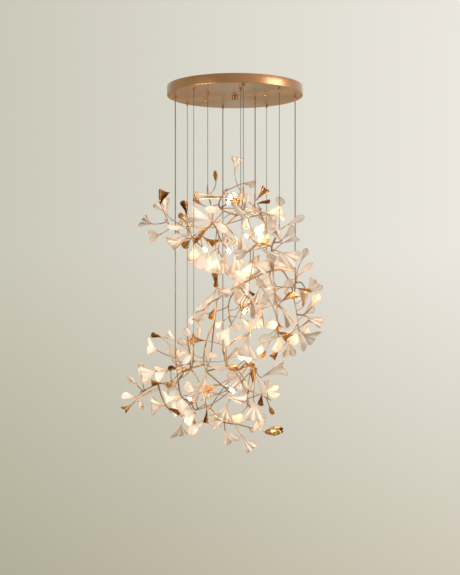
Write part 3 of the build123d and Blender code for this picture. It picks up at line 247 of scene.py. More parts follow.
# Leaves, in the same hundredths: across, up, away, then the direction in degrees in the
# front view, length and width of SPRAY_SPAN, and kind
PORCELAIN_SHARES = {
    "upper": (
        (-68, -4, 12, 115, 15, 19, "fan"), (-83, -13.5, 6, 170, 11, 13, "fan"),
        (-75, -24, -6, 195, 10, 12, "notched"), (-48, -16.5, -19, 180, 23, 6, "strap"),
        (-46, -25, -12, 185, 18, 6, "strap"), (-46, -28, -6, 205, 21, 16, "rolled"),
        (-41.5, -35, 3, 265, 14, 11, "spoon"), (-40, -42, 12, 250, 12, 10, "spoon"),
        (-32, -41, -15, 265, 20, 16, "notched"), (-25, -45, 0, 265, 14, 10, "spoon"),
        (-19, -47.5, -12, 270, 14, 8, "spoon"), (-11, -45, -20, 270, 23, 17, "notched"),
        (-1, -39.5, -18, 285, 23, 16, "fan"), (-2.5, -59.5, 0, 330, 18, 11, "rolled"),
        (-20, -11.4, -20, 155, 26, 20, "rolled"), (-21, -12.5, -28, 332, 16, 8, "spoon"),
        (-14, 13, -10, 185, 21, 9, "cup"), (-14.5, 2, -18, 180, 15, 8, "spoon"),
        (0, 40.5, 10, 75, 14, 13, "fan"), (9, 27, 3, 5, 12, 7, "spoon"),
        (-6, 10.6, -25, 310, 21, 6, "strap"), (9, 0, -38, 80, 16, 13, "fan"),
        (44, 2, 6, 85, 12, 10, "spoon"), (30.5, -2, 0, 0, 19, 17, "rolled"),
        (27.6, -5, 18, 10, 12, 7, "spoon"), (35, -5.3, 7, 275, 15, 10, "spoon"),
        (31, -21, 0, 235, 14, 6, "strap"), (30, -13, -10, 230, 13, 9, "spoon"),
        (28, -10, 25, 300, 15, 6, "strap"), (7, -18, -35, 275, 21, 12, "rolled"),
        (8, -34, -15, 260, 14, 10, "spoon"), (-40, -16, 38, 150, 18, 17, "fan"),
        (25, -8, 45, 340, 16, 17, "fan"), (-12, 20, -6, 300, 10, 7, "spoon"),
        (11, -6.5, -12, 270, 12, 9, "fan"), (15, -16, 8, 290, 12, 10, "notched"),
        (-10, -22, -20, 285, 13, 11, "fan"),
    ),
    "middle": (
        (53.4, 56, -38, 28, 18, 7, "strap"), (49.4, 43, -45, 50, 14, 8, "spoon"),
        (47.6, 37, -28, 120, 15, 11, "rolled"), (50.5, 38.5, -15, 18, 16, 7, "strap"),
        (45, 28.5, -25, 335, 20, 19, "fan"), (67, 21, 6, 70, 12, 7, "spoon"),
        (63, 6.7, -12, 150, 23, 10, "rolled"), (65, 6, 0, 45, 16, 6, "strap"),
        (16, 18, -12, 350, 17, 14, "fan"), (23, 35, -43, 325, 22, 10, "rolled"),
        (39, 23, 12, 215, 11, 9, "spoon"), (43.6, 27.4, 0, 290, 19, 9, "spoon"),
        (17, 17.5, 12, 250, 15, 12, "spoon"), (-18, -8, -7, 235, 20, 6, "strap"),
        (-31, -32, 10, 130, 8, 8, "fan"), (-26, -24.4, -6, 240, 21, 11, "rolled"),
        (-39, -32.5, 6, 240, 13, 7, "spoon"), (-38, -38, 18, 280, 19, 5, "strap"),
        (-16, -11, -18, 350, 16, 11, "cup"), (0, -21, -18, 80, 13, 9, "spoon"),
        (3, -27, 5, 60, 14, 10, "spoon"), (8, -24, -28, 335, 18, 14, "rolled"),
        (16, -20, -33, 300, 14, 9, "cup"), (25, -7, -15, 250, 18, 13, "rolled"),
        (29, -14, -3, 270, 11, 9, "spoon"), (28, -25.6, -25, 245, 22, 6, "strap"),
        (4.4, -2, -22, 330, 13, 12, "fan"), (35.4, 6.6, 10, 245, 11, 8, "spoon"),
        (40, -6, -18, 200, 11, 8, "spoon"), (-11.5, -40.5, 7, 220, 10, 7, "spoon"),
        (-5, -46, 0, 240, 21, 16, "notched"), (-3.7, -44.5, 20, 340, 11, 8, "spoon"),
        (5.5, -36, -10, 310, 19, 16, "rolled"), (50, -12.5, 3, 75, 15, 9, "spoon"),
        (46.7, -7, 12, 200, 16, 12, "rolled"), (68.5, -25.6, 12, 60, 14, 11, "cup"),
        (77.7, -25.6, 0, 70, 14, 10, "spoon"), (70, -33.6, 18, 50, 14, 11, "spoon"),
        (70.3, -36, -12, 335, 18, 12, "fan"), (67.4, -53, 12, 45, 9, 10, "fan"),
        (67.4, -53.7, 0, 340, 20, 16, "notched"), (61.7, -53, -10, 250, 13, 12, "spoon"),
        (65, -55, 12, 290, 18, 7, "strap"), (54, -62, 7, 275, 16, 14, "notched"),
        (43.3, -57.2, -10, 275, 14, 11, "spoon"), (29.5, -59, -5, 250, 18, 7, "strap"),
        (13, -56.3, -15, 260, 21, 23, "fan"), (44, -56, -20, 190, 20, 8, "spoon"),
        (44.4, -24, -28, 310, 24, 13, "rolled"), (28.4, -44.5, 0, 0, 14, 10, "spoon"),
        (72, -13, 38, 40, 16, 17, "fan"), (13, 3, 43, 190, 18, 17, "notched"),
        (24, 10, 50, 120, 16, 15, "fan"), (39, -10, 12, 280, 12, 10, "fan"),
        (13.5, 29, -28, 200, 13, 10, "notched"), (31, -7, -22, 150, 11, 8, "spoon"),
        (20, -34, -14, 290, 13, 11, "fan"),
    ),
    "lower": (
        (-57, 47.8, 6, 140, 15, 11, "rolled"), (-46.5, 44, 35, 150, 13, 8, "spoon"),
        (-43, 52, -38, 120, 12, 8, "spoon"), (-78, 40, 0, 155, 14, 16, "notched"),
        (-62.6, 30.6, -12, 100, 15, 8, "spoon"), (-60, 30, 20, 60, 14, 13, "fan"),
        (-53.4, 19.6, 12, 160, 10, 8, "spoon"), (-52.8, 22.5, -20, 60, 15, 7, "strap"),
        (-93, 10, 10, 115, 14, 8, "cup"), (-79, 19, -3, 195, 15, 20, "fan"),
        (-67, 20.5, -15, 172, 13, 5, "strap"), (-69.5, 18, -25, 215, 12, 10, "spoon"),
        (-97, 4, 3, 130, 14, 6, "strap"), (-59, 7, -22, 240, 14, 10, "spoon"),
        (-39.6, -4, -18, 130, 15, 9, "spoon"), (-28.6, 18, -20, 255, 16, 12, "rolled"),
        (-100, -7, 7, 175, 14, 8, "spoon"), (-99, -8, -3, 305, 14, 5, "strap"),
        (-71, -15, -18, 180, 14, 18, "fan"), (-54, -6, -3, 200, 18, 14, "rolled"),
        (-52.3, -25.6, -12, 95, 18, 10, "spoon"), (-39, -19.8, -25, 190, 13, 9, "spoon"),
        (-39, -22.7, -10, 225, 15, 13, "spoon"), (-41, -28, 3, 270, 16, 12, "spoon"),
        (-54, -35, -5, 260, 16, 16, "notched"), (-30, -28, -10, 225, 13, 6, "strap"),
        (-10.4, -30, -18, 205, 15, 10, "rolled"), (-7.8, -14.6, -12, 255, 17, 20, "fan"),
        (-9.5, -5.5, -20, 345, 21, 12, "rolled"), (-10, -39.3, 0, 300, 18, 16, "notched"),
        (-30.6, 42.2, -10, 318, 16, 7, "strap"), (-6, 45, 7, 35, 23, 5, "strap"),
        (-10.6, 29.6, -15, 20, 14, 9, "cup"), (13.6, 32.4, 12, 160, 13, 11, "spoon"),
        (-25.5, 23.8, -30, 352, 18, 6, "strap"), (-7, 8, -15, 50, 11, 10, "spoon"),
        (11.3, 1, -20, 235, 13, 9, "spoon"), (26, 12.8, -18, 30, 26, 15, "rolled"),
        (32.5, -0.8, -7, 95, 11, 11, "fan"), (29, -3, 10, 15, 15, 13, "notched"),
        (19, -11.2, -12, 280, 18, 20, "fan"), (7, -22.7, 10, 235, 11, 12, "spoon"),
        (17.5, -42, 7, 50, 20, 8, "spoon"), (6, -44.5, -7, 305, 18, 14, "fan"),
        (20, -22, 35, 320, 16, 17, "fan"), (-46, -14, 30, 200, 17, 17, "fan"),
        (-22, 5, 14, 230, 13, 11, "fan"), (5, 12, -18, 250, 12, 10, "notched"),
        (-20, -25, 12, 280, 12, 10, "fan"), (-36, 2, -22, 240, 12, 10, "notched"),
    ),
}
GOLD_SHARES = {
    "upper": (
        (-75, 6.6, 0, 100, 11, 11, "cup"), (-45, -30, -22, 225, 10, 8, "spoon"),
        (-32.4, -26, -20, 320, 16, 13, "rolled"), (-18, -66, 0, 280, 8, 6, "cup"),
        (-22.6, -13.6, 3, 225, 26, 5, "strap"), (-48.3, -3, 3, 75, 11, 9, "cup"),
        (-49, -11, 12, 130, 11, 6, "spoon"), (-32, 5, 0, 145, 14, 10, "fan"),
        (-19, 29.6, 5, 95, 11, 4, "bud"), (4, 5.5, -18, 130, 14, 13, "fan"),
        (22, 11, -3, 50, 15, 10, "rolled"), (22.5, 7, 20, 30, 10, 5, "cup"),
    ),
    "middle": (
        (23, 35.4, -18, 15, 14, 10, "fan"), (-18, -6.6, 5, 115, 11, 7, "cup"),
        (-21.5, -30, -10, 250, 10, 5, "bud"), (5, -24.5, -7, 270, 10, 9, "cup"),
        (12.4, -9, 0, 310, 10, 6, "cup"), (45.6, -22, 10, 40, 18, 13, "rolled"),
        (62.8, -7.8, 5, 345, 16, 5, "strap"), (44.4, -69, 0, 200, 10, 7, "cup"),
        (30.7, -70.4, 5, 240, 9, 6, "spoon"), (42, -51, 15, 340, 15, 10, "fan"),
        (42, -38.2, 7, 280, 11, 8, "rolled"),
    ),
    "lower": (
        (-74, 53.5, 3, 145, 8, 7, "cup"), (-31, 50, 12, 180, 15, 11, "fan"),
        (-64.3, 19.6, 5, 100, 8, 8, "cup"), (-73, 7, 12, 150, 8, 7, "cup"),
        (-62, 10, -15, 230, 9, 8, "spoon"), (-102, -13, 12, 225, 12, 8, "rolled"),
        (-68, -17, 0, 330, 12, 7, "cup"), (-50, -9, 7, 345, 11, 10, "rolled"),
        (-28, -20, -18, 280, 10, 6, "cup"), (-8.5, 23.5, 12, 0, 12, 7, "spoon"),
        (9, 26.7, -5, 350, 11, 6, "spoon"), (18, 8.3, 10, 80, 10, 10, "cup"),
        (-18, 5, -15, 200, 15, 12, "fan"), (26.7, -4.9, -18, 260, 9, 8, "cup"),
        (35, -17, 0, 295, 8, 4, "bud"), (30.7, -41.9, 0, 12, 17, 9, "bud"),
    ),
}
TIERS = ("upper", "middle", "lower")
THICK = {"porcelain": 0.0024, "gold": 0.0014}
ROOT_WIDTH = 0.005

# The rim of each leaf kind, from its middle line to its side: share of the way, then
# along as a share of the length and across as a share of the half width
RIM_SHARES = {
    "fan": ((0, 0.91, 0), (0.05, 0.95, 0.05), (0.12, 0.985, 0.13), (0.4, 1.0, 0.47), (0.7, 0.975, 0.79),
            (0.88, 0.91, 0.95), (1, 0.80, 1.0)),
    "notched": ((0, 0.68, 0), (0.08, 0.76, 0.05), (0.2, 0.90, 0.18), (0.45, 1.0, 0.50), (0.7, 0.96, 0.83),
                (0.88, 0.82, 0.98), (1, 0.62, 1.0)),
    "rolled": ((0, 0.89, 0), (0.1, 0.93, 0.12), (0.4, 0.985, 0.45), (0.75, 1.0, 0.82), (1, 0.93, 1.0)),
    "spoon": ((0, 1.0, 0), (0.3, 0.985, 0.28), (0.6, 0.92, 0.62), (0.85, 0.79, 0.92), (1, 0.60, 1.0)),
    "strap": ((0, 1.0, 0), (0.35, 0.95, 0.30), (0.7, 0.85, 0.72), (1, 0.68, 1.0)),
    "cup": ((0, 1.0, 0), (0.5, 0.99, 0.5), (1, 0.92, 1.0)),
}
# How fast a leaf widens from its root, which is a share of ROOT_WIDTH
FLARE = {"fan": 1.45, "notched": 1.35, "rolled": 1.7, "spoon": 1.15, "strap": 1.0}
ROOT_SHARE = 0.8
# The rise of the middle line along a leaf, as a share of its length
CURL_SHARES = {
    "fan": ((0, 0), (0.45, 0.02), (1, 0.22)), "notched": ((0, 0), (0.50, -0.02), (1, -0.22)),
    "rolled": ((0, 0), (0.6, 0), (1, 0.03)), "spoon": ((0, 0), (0.50, 0.08), (1, 0.02)),
    "strap": ((0, 0), (0.45, 0.04), (1, -0.16)), "cup": ((0, 0), (0.35, 0.10), (1, 0.56)),
}
CURL_BLUR = 0.16
CURL_BLUR_STEPS = 9
# The rise of both edges as a share of the width; depths and waves of ruffles and scallops
FOLD_SHARES = {"fan": 0.05, "notched": 0.04, "rolled": 0.33, "spoon": 0.10, "strap": 0.12}
FOLD_POWER = 1.6
RUFFLE_SHARES = {"fan": (0.062, 2.6), "notched": (0.055, 2.2), "rolled": (0.045, 2.0),
                 "spoon": (0.006, 1.0), "strap": (0.0, 1.0)}
RUFFLE_POWER = 2.2
SCALLOP_SHARES = {"fan": (0.016, 5.5), "notched": (0.018, 5.0), "rolled": (0.014, 4.0)}
LOP_SHARE = 0.03
RIB_HEIGHT = 0.0006
RIB_START = 0.12
RIB_GROWTH = 2.0
RIBS = {"fan": 7, "notched": 7, "rolled": 6, "spoon": 2, "strap": 1, "cup": 4, "bud": 4}
COLUMNS = {"fan": 37, "notched": 37, "rolled": 33, "spoon": 17, "strap": 11, "cup": 33, "bud": 29}
ROWS = {"fan": 13, "notched": 13, "rolled": 13, "spoon": 13, "strap": 15, "cup": 13, "bud": 12}
ROW_POWER = 0.9
PHASE_STEP = 2.399
# A cup's and a bud's radius along their length as shares of the half width
WRAP_SHARES = {
    "cup": ((0.0, 0.13), (0.3, 0.28), (0.6, 0.50), (0.85, 0.68), (1.0, 0.83)),
    "bud": ((0.0, 0.30), (0.2, 0.62), (0.48, 1.0), (0.75, 0.86), (0.92, 0.60), (1.0, 0.66)),
}
WRAP_ANGLE = {"cup": 126.0, "bud": 176.0}
# Their uneven mouths: depth as a share, waves, and how fast they grow towards the mouth
CUP_MOUTH_SHARES = (0.05, 5, 4)
CUP_BULGE_SHARES = (0.08, 4, 3)
BUD_MOUTH_SHARES = (0.10, 3, 6)
# A leaf's shell thins towards its rim
THIN_SHARE = 0.6
THIN_POWER = 5
THIN_GROWTH = 3

WELD = 1e-5
NEAR = 1e-4
NEARLY_ALONG = 0.1
ROOT_BAND = 0.0005


def unit(vector):
    return vector / np.linalg.norm(vector)


def seen_place(tier, across, up, away):
    """The point that shows at a place of the front view, in hundredths, when it lies this far away."""
    spread = 1 + away / VIEW_DISTANCE
    x = (across * SPAN_HUNDREDTH + VIEW_LEFT) * spread - VIEW_LEFT
    z = (up * SPAN_HUNDREDTH - TIER_DROP[tier] + VIEW_DROP) * spread - VIEW_DROP
    return np.array([x, away, z])


def placed(tier, stop):
    across, up, away = stop
    return seen_place(tier, across, up, away * DEPTH_HUNDREDTH)


def gripper_place(name):
    x, y = GRIPPER_SHARES[name][:2]
    return np.array([CANOPY_RADIUS * x, CANOPY_RADIUS * y, 0.0])


def cable_end(name):
    """The top of the branch that a cable carries, below its ferrule."""
    end = gripper_place(name)
    end[2] = CABLE_END_SHARES[name] * SPRAY_SPAN - TIER_DROP[GRIPPER_SHARES[name][2]]
    return end


def stem_points(tier, path):
    """A branch's points. Below a cable it first drops straight down."""
    points = []
    for stop in path:
        if isinstance(stop, str):
            end = cable_end(stop)
            points += [end, end - np.array([0, 0, DROP_LENGTH])]
        else:
            points.append(placed(tier, stop))
    return points


def leaf_frame(direction, lean, turn):
    """Heading, side and face directions of a leaf."""
    a, b, c = (math.radians(v) for v in (direction, lean, turn))
    heading = np.array([math.cos(a) * math.cos(b), math.sin(b), math.sin(a) * math.cos(b)])
    flat_side = np.array([-math.sin(a), 0.0, math.cos(a)])
    side = math.cos(c) * flat_side + math.sin(c) * np.cross(heading, flat_side)
    return heading, side, np.cross(heading, side)


# Mesh code


class Shape:
    """Points and faces that become one piece."""

    def __init__(self):
        self.points = []
        self.faces = []
        self.slots = []
        self.uvs = []

    def add(self, points, faces, uv, slots=None):
        base = len(self.points)
        self.points += [tuple(p) for p in points]
        self.uvs += [tuple(t) for t in uv]
        self.faces += [tuple(base + i for i in face) for face in faces]
        self.slots += slots or [0] * len(faces)

    def piece(self, name, body, slot, replaced, sharp=SHARP_ANGLE):
        mesh = bpy.data.meshes.new(name)
        mesh.from_pydata(self.points, [], self.faces)
        layer = mesh.uv_layers.new(name="surface")
        loops = np.empty(len(mesh.loops), int)
        mesh.loops.foreach_get("vertex_index", loops)
        layer.data.foreach_set("uv", np.array(self.uvs)[loops].ravel())
        mesh.polygons.foreach_set("use_smooth", [True] * len(mesh.polygons))
        mesh.polygons.foreach_set("material_index", self.slots)
        for material in LOOKS[slot]:
            mesh.materials.append(material)
        mesh.set_sharp_from_angle(angle=math.radians(sharp))
        obj = bpy.data.objects.new(name, mesh)
        bpy.context.scene.collection.objects.link(obj)
        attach(obj, body)
        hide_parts(replaced)
        return obj


def table_at(table, share, column=1):
    return np.interp(share, [row[0] for row in table], [row[column] for row in table])


def smooth_at(table, share):
    """A table's value with its corners rounded."""
    steps = np.linspace(-CURL_BLUR, CURL_BLUR, CURL_BLUR_STEPS)
    rows = np.array(table, float)
    rows = np.concatenate([[2 * rows[0] - rows[1]], rows, [2 * rows[-1] - rows[-2]]])
    value = np.mean([table_at(rows, share + s) for s in steps], axis=0)
    return value - np.mean(table_at(rows, steps)) + table[0][1]


def side_of(direction, guide):
    """A direction across another, led by a guide unless the two nearly agree."""
    side = np.cross(direction, guide)
    if np.linalg.norm(side) < NEARLY_ALONG:
        side = np.array([1.0, 0.0, 0.0])
    return unit(side - direction * np.dot(side, direction))


def run_along(line):
    """How far each point of a line lies along it."""
    return np.concatenate([[0], np.cumsum(np.linalg.norm(np.diff(line, axis=0), axis=1))])


def lobed_ring(turns, lobes, lobe_share):
    """The radius round a ring with lobes, as a share."""
    return 1 + lobe_share * (np.cos(lobes * turns) - 1)


def tube(shape, line, radii, sides, twist=0.0, lobes=0, lobe_share=0.0):
    """A closed tube round a line, with a radius at each of its points and a twist in radians a metre."""
    tangents = np.gradient(line, axis=0)
    tangents /= np.linalg.norm(tangents, axis=1)[:, None]
    side = side_of(tangents[0], [0.0, 0.0, 1.0])
    count = len(line)
    turns = 2 * np.pi * np.arange(sides) / sides
    swell = lobed_ring(turns, lobes, lobe_share)
    points = []
    uv = []
    faces = []
    for k, (tangent, run) in enumerate(zip(tangents, run_along(line))):
        side = unit(side - tangent * np.dot(side, tangent))
        angle = turns + twist * run
        ring = np.cos(angle)[:, None] * side + np.sin(angle)[:, None] * np.cross(tangent, side)
        points += list(line[k] + ring * (radii[k] * swell)[:, None])
        uv += [(t / (2 * np.pi), k / count) for t in turns]
        if k:
            low = [(k - 1) * sides + j for j in range(sides)]
            faces += [(a, b, b + sides, a + sides) for a, b in zip(low, low[1:] + low[:1])]
    faces.append(tuple(range(sides))[::-1])
    faces.append(tuple((count - 1) * sides + j for j in range(sides)))
    shape.add(points, faces, uv)


def lathe(shape, profile, origin, axis, segments, lobes=0, lobe_share=0.0, lobed=()):
    """A turned solid: rows of radius and height along the axis, with lobes on some of them."""
    axis = unit(np.array(axis, float))
    side = side_of(axis, [0.0, 1.0, 0.0])
    up = np.cross(axis, side)
    turns = 2 * np.pi * np.arange(segments) / segments
    points = []
    uv = []
    rings = []
    for row, (radius, height) in enumerate(profile):
        centre = np.array(origin) + axis * height
        if radius == 0:
            rings.append([len(points)] * segments)
            points.append(centre)
            uv.append((0.5, height))
            continue
        rings.append(list(range(len(points), len(points) + segments)))
        reach = radius * lobed_ring(turns, lobes, lobe_share if row in lobed else 0.0)
        ring = np.cos(turns)[:, None] * side + np.sin(turns)[:, None] * up
        points += list(centre + reach[:, None] * ring)
        uv += [(t / (2 * np.pi), height) for t in turns]
    faces = []
    for low, high in zip(rings, rings[1:] + rings[:1]):
        if low[0] == low[1] and high[0] == high[1]:
            continue
        for j in range(segments):
            n = (j + 1) % segments
            faces.append(tuple(dict.fromkeys((low[j], low[n], high[n], high[j]))))
    shape.add(points, faces, uv)


def scaled(shares, radius, height, foot=0.0):
    """A profile in metres from its shares of a radius and a height."""
    return [(radius * r, foot + height * h) for r, h in shares]


def turned(name, body, node, profile, segments, places, axes=None, slot="polished_brass",
           sharp=TURNED_SHARP_ANGLE, **knurls):
    """One piece with the same turned solid at each place, upright unless it has an axis."""
    shape = Shape()
    for k, place in enumerate(places):
        lathe(shape, profile, place, axes[k] if axes else UPRIGHT, segments, **knurls)
    shape.piece(name, body, slot, node, sharp)


def rounded(points):
    """A line through the points, rounded at each of them, in even steps."""
    ends = [points[0] * 2 - points[1], *points, points[-1] * 2 - points[-2]]
    line = []
    for p0, p1, p2, p3 in zip(ends, ends[1:], ends[2:], ends[3:]):
        length = np.linalg.norm(p2 - p1)
        leave = unit(p2 - p0) * length
        arrive = unit(p3 - p1) * length
        count = max(LEAST_STEPS, math.ceil(length / LINE_STEP))
        t = np.arange(count)[:, None] / count
        line.append(
            (2 * t**3 - 3 * t**2 + 1) * p1 + (t**3 - 2 * t**2 + t) * leave
            + (3 * t**2 - 2 * t**3) * p2 + (t**3 - t**2) * arrive
        )
    return np.concatenate([*line, [points[-1]]])


def bent(p0, d0, p3, d3):
    """A curve from p0 along d0 to p3 along d3, led less where it would double back."""
    length = np.linalg.norm(p3 - p0)
    ahead = max(0.0, float(np.dot(unit(p3 - p0), d3)))
    pull = length * PULL_SHARE * min(1.0, length / LED_LENGTH)
    p1 = p0 + d0 * pull
    p2 = p3 - d3 * pull * (BACK_PULL_SHARE + (1 - BACK_PULL_SHARE) * ahead)
    count = max(LEAST_TWIG_STEPS, math.ceil(length / LINE_STEP))
    t = np.linspace(0, 1, count + 1)[:, None]
    return (1 - t) ** 3 * p0 + 3 * (1 - t) ** 2 * t * p1 + 3 * (1 - t) * t**2 * p2 + t**3 * p3


# Leaves


def wrapped_sheet(kind, length, half, phase, u, v, rib):
    """The sheet of a cup or a bud: rolled round its middle line, with an uneven mouth."""
    radius = half * table_at(WRAP_SHARES[kind], u) + rib
    if kind == "cup":
        deep, waves, power = CUP_MOUTH_SHARES
        rim = table_at(RIM_SHARES[kind], np.abs(v))
        share = u * (rim + deep * np.sin(waves * v + phase) * u**power)
        rise = length * smooth_at(CURL_SHARES[kind], share)
        slope = np.arctan2(np.gradient(rise, axis=0), np.gradient(share * length, axis=0))
        deep, waves, power = CUP_BULGE_SHARES
        radius = radius * (1 + deep * np.sin(waves * v + phase) * u**power)
    else:
        deep, waves, power = BUD_MOUTH_SHARES
        share = u * (1 - deep * np.abs(np.sin(waves * np.pi * v)) * u**power)
        rise = -half * table_at(WRAP_SHARES[kind], u) * np.ones_like(v)
        slope = np.zeros_like(rise)
    angle = np.radians(WRAP_ANGLE[kind]) * v
    lift = radius * (1 - np.cos(angle))
    x = share * length - np.sin(slope) * lift
    y = radius * np.sin(angle)
    return np.stack([x, y, rise + np.cos(slope) * lift], axis=2)


def leaf_sheet(kind, length, width, seed):
    """The middle sheet of a leaf in its own frame, as a grid of points."""
    u = np.linspace(0, 1, ROWS[kind])[:, None] ** ROW_POWER
    v = np.linspace(-1, 1, COLUMNS[kind])[None, :]
    half = width / 2
    phase = seed * PHASE_STEP
    grown = np.clip((u - RIB_START) * RIB_GROWTH, 0, 1)
    rib = RIB_HEIGHT * np.sin(np.pi * RIBS[kind] * v + phase) * grown
    if kind in WRAP_SHARES:
        return wrapped_sheet(kind, length, half, phase, u, v, rib)
    rim_x = table_at(RIM_SHARES[kind], np.abs(v), 1)
    rim_y = table_at(RIM_SHARES[kind], np.abs(v), 2) * np.sign(v)
    if kind in SCALLOP_SHARES:
        deep, waves = SCALLOP_SHARES[kind]
        rim_x = rim_x - deep * (1 + np.sin(2 * np.pi * waves * v + phase)) / 2
    rim_x = rim_x + LOP_SHARE * math.sin(phase) * v
    root = min(ROOT_WIDTH / 2, half) * ROOT_SHARE
    y = rim_y * (root + (half - root) * u ** FLARE[kind])
    z = length * smooth_at(CURL_SHARES[kind], rim_x * u)
    z = z + FOLD_SHARES[kind] * width * (np.abs(y) / half) ** FOLD_POWER
    deep, waves = RUFFLE_SHARES[kind]
    z = z + deep * length * np.sin(np.pi * waves * v + phase) * u**RUFFLE_POWER
    return np.stack([length * rim_x * u, y, z + rib], axis=2)


def sheet_normals(grid):
    normals = np.cross(np.gradient(grid, axis=0), np.gradient(grid, axis=1))
    return normals / np.linalg.norm(normals, axis=2)[:, :, None]


def add_leaf(shape, kind, length, width, thick, neck, axes, seed):
    """A leaf as a closed shell with a thin rim. A cup's inner face has the second material, which for
    gilding is a darker copy painted with shade.
    """
    grid = leaf_sheet(kind, length, width, seed)
    rows, columns = grid.shape[:2]
    v, u = np.meshgrid(np.linspace(-1, 1, columns), np.linspace(0, 1, rows))
    edge = np.maximum(u**THIN_POWER, np.abs(v) ** THIN_POWER * np.clip(THIN_GROWTH * u, 0, 1))
    offset = (thick / 2 * (1 - THIN_SHARE * edge))[:, :, None] * sheet_normals(grid)
    world = np.concatenate([(grid + offset).reshape(-1, 3), (grid - offset).reshape(-1, 3)])
    world = np.array(neck) + world @ np.array(axes)
    size = rows * columns
    ids = np.arange(size).reshape(rows, columns)
    faces = []
    slots = []
    corners = (ids[:-1, :-1], ids[:-1, 1:], ids[1:, :-1], ids[1:, 1:])
    for a, b, c, d in zip(*(corner.ravel().tolist() for corner in corners)):
        faces += [(a, c, d, b), (size + a, size + b, size + d, size + c)]
        slots += [1 if kind in WRAP_SHARES else 0, 0]
    border = np.concatenate([ids[0], ids[1:, -1], ids[-1, -2::-1], ids[-2:0:-1, 0]]).tolist()
    for a, b in zip(border, border[1:] + border[:1]):
        faces.append((a, b, size + b, size + a))
        slots.append(0)
    uv = np.stack([v, u], axis=2).reshape(-1, 2)
    shape.add(world, faces, np.concatenate([uv, uv]), slots)


def islands(node):
    """The corner points of each separate solid of a CAD node."""
    bm = bmesh.new()
    bm.from_mesh(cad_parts[node].data)
    bmesh.ops.remove_doubles(bm, verts=bm.verts, dist=WELD)
    left = set(bm.verts)
    found = []
    while left:
        stack = [left.pop()]
        group = []
        while stack:
            vert = stack.pop()
            group.append(tuple(vert.co))
            linked = {edge.other_vert(vert) for edge in vert.link_edges} & left
            left -= linked
            stack += linked
        found.append(np.array(sorted(group)))
    bm.free()
    return sorted(found, key=lambda g: tuple(g[0]))


def stand_of_leaves(tier):
    """Each row's leaf with the depth at which its CAD solid stands, and its twig's foot."""
    rows = [("porcelain", row) for row in PORCELAIN_SHARES[tier]]
    rows += [("gold", row) for row in GOLD_SHARES[tier]]
    solids = {f: islands(f"{tier}_{f}_leaves") for f in ("porcelain", "gold")}
    twigs = islands(f"{tier}_twigs")
    stand = []
    for index, (finish, row) in enumerate(rows):
        across, up, away, direction, length, width, kind = row
        lean = LEAN_SWING * math.sin(math.radians(index * LEAN_STEP))
        turn = TURN_SWING * math.sin(math.radians(index * TURN_STEP))
        axes = leaf_frame(direction, lean, turn)
        length = length * SPAN_HUNDREDTH / math.cos(math.radians(lean))
        width = width * SPAN_HUNDREDTH / math.cos(math.radians(turn))
        best = None
        for k, solid in enumerate(solids[finish]):
            reach = solid @ axes[0]
            root = solid[reach < reach.min() + ROOT_BAND].mean(axis=0)
            neck = seen_place(tier, across, up, root[1])
            miss = np.linalg.norm(root - neck) + abs(reach.max() - reach.min() - length)
            if best is None or miss < best[0]:
                best = (miss, k, neck)
        if best is None or best[0] > ROOT_WIDTH:
            continue
        _, k, neck = best
        solids[finish].pop(k)
        twig = min(twigs, key=lambda t: np.sort(np.linalg.norm(t - neck, axis=1))[:END_CORNERS].mean())
        order = np.argsort(np.linalg.norm(twig - neck, axis=1))
        foot = twig[order[-END_CORNERS:]].mean(axis=0)
        stand.append((finish, kind, length, width, neck, axes, foot, index))
    return stand


# Materials

NOISE_ROUGHNESS = 0.55
NOISE_DETAIL = 4.0
FINE_DETAIL = 3.0
DRIFT_STOPS = (0.30, 0.70)
METAL_DRIFT = 9.0
METAL_RELIEF = 0.35
METAL_GRAIN_DEPTH = 0.00008
LACQUER_ROUGHNESS = 0.15
EVENLY = (1.0, 1.0, 1.0)
WHITE = (1.0, 1.0, 1.0)

# Leaf surfaces, in the leaf's own directions: across from -1 to 1 and along from 0 to 1
# The drift is broad enough that whole leaves turn lighter or darker, which in porcelain is painted shade
LEAF_TONE_AND_SHADE_DRIFT = 15.0
LEAF_STOPS = (0.32, 0.66)
VEIN_STRETCH = (9.0, 0.8, 1.0)
VEIN_SHADE_STOPS = (0.36, 0.56)
VEIN_DEPTH = 0.0006
# Painted shade: a tint that darkens streaks along the veins, as the shade of ribs would
VEIN_SHADE_TINT = (0.85, 0.80, 0.75)
DENT_SCALE = 130.0
DENT_DETAIL = 2.0
DENT_STOPS = (0.42, 0.60)
DENT_SHARE = 4.0
# Painted shade: the tint that darkens the gilding in its dents
GILDING_DENT_SHADE_TINT = (0.50, 0.42, 0.34)
ROOT_STOPS = (0.0, 0.46)
SIDE_RIM = (0.84, 1.0)
TIP_RIM = (0.90, 1.0)

PLAIN_RELIEF = 0.4
LAMP_RELIEF = 0.3
FROST_SCALE = 600.0
FROST_DEPTH = 0.0001
LAMP_ROUGHNESS = 0.5
LAMP_GLOW = 390.0
LAMP_COLOURS = ((1.0, 0.72, 0.47), (1.0, 0.79, 0.55))


def new_material(name):
    """A material with its node tree and shader."""
    material = bpy.data.materials.new(name)
    material.use_nodes = True
    tree = material.node_tree
    return material, tree, tree.nodes["Principled BSDF"]


def add_node(tree, kind, wires=(), **values):
    """A node with its settings, the constants of its sockets, and what feeds the others."""
    node = tree.nodes.new("ShaderNode" + kind)
    for key, value in values.items():
        if key in node.inputs:
            node.inputs[key].default_value = value
        else:
            setattr(node, key, value)
    for socket, output in dict(wires).items():
        tree.links.new(output, node.inputs[socket])
    return node


def noise(tree, place, scale, detail=NOISE_DETAIL):
    values = {"Scale": scale, "Detail": detail, "Roughness": NOISE_ROUGHNESS}
    return add_node(tree, "TexNoise", {"Vector": place}, **values).outputs["Fac"]


def ramp(tree, value, stops, colours):
    """A colour that runs from one to another while a value runs between two stops."""
    node = add_node(tree, "ValToRGB", {"Fac": value})
    for element, stop, colour in zip(node.color_ramp.elements, stops, colours):
        element.position = stop
        element.color = (*colour, 1.0)
    return node.outputs["Color"]


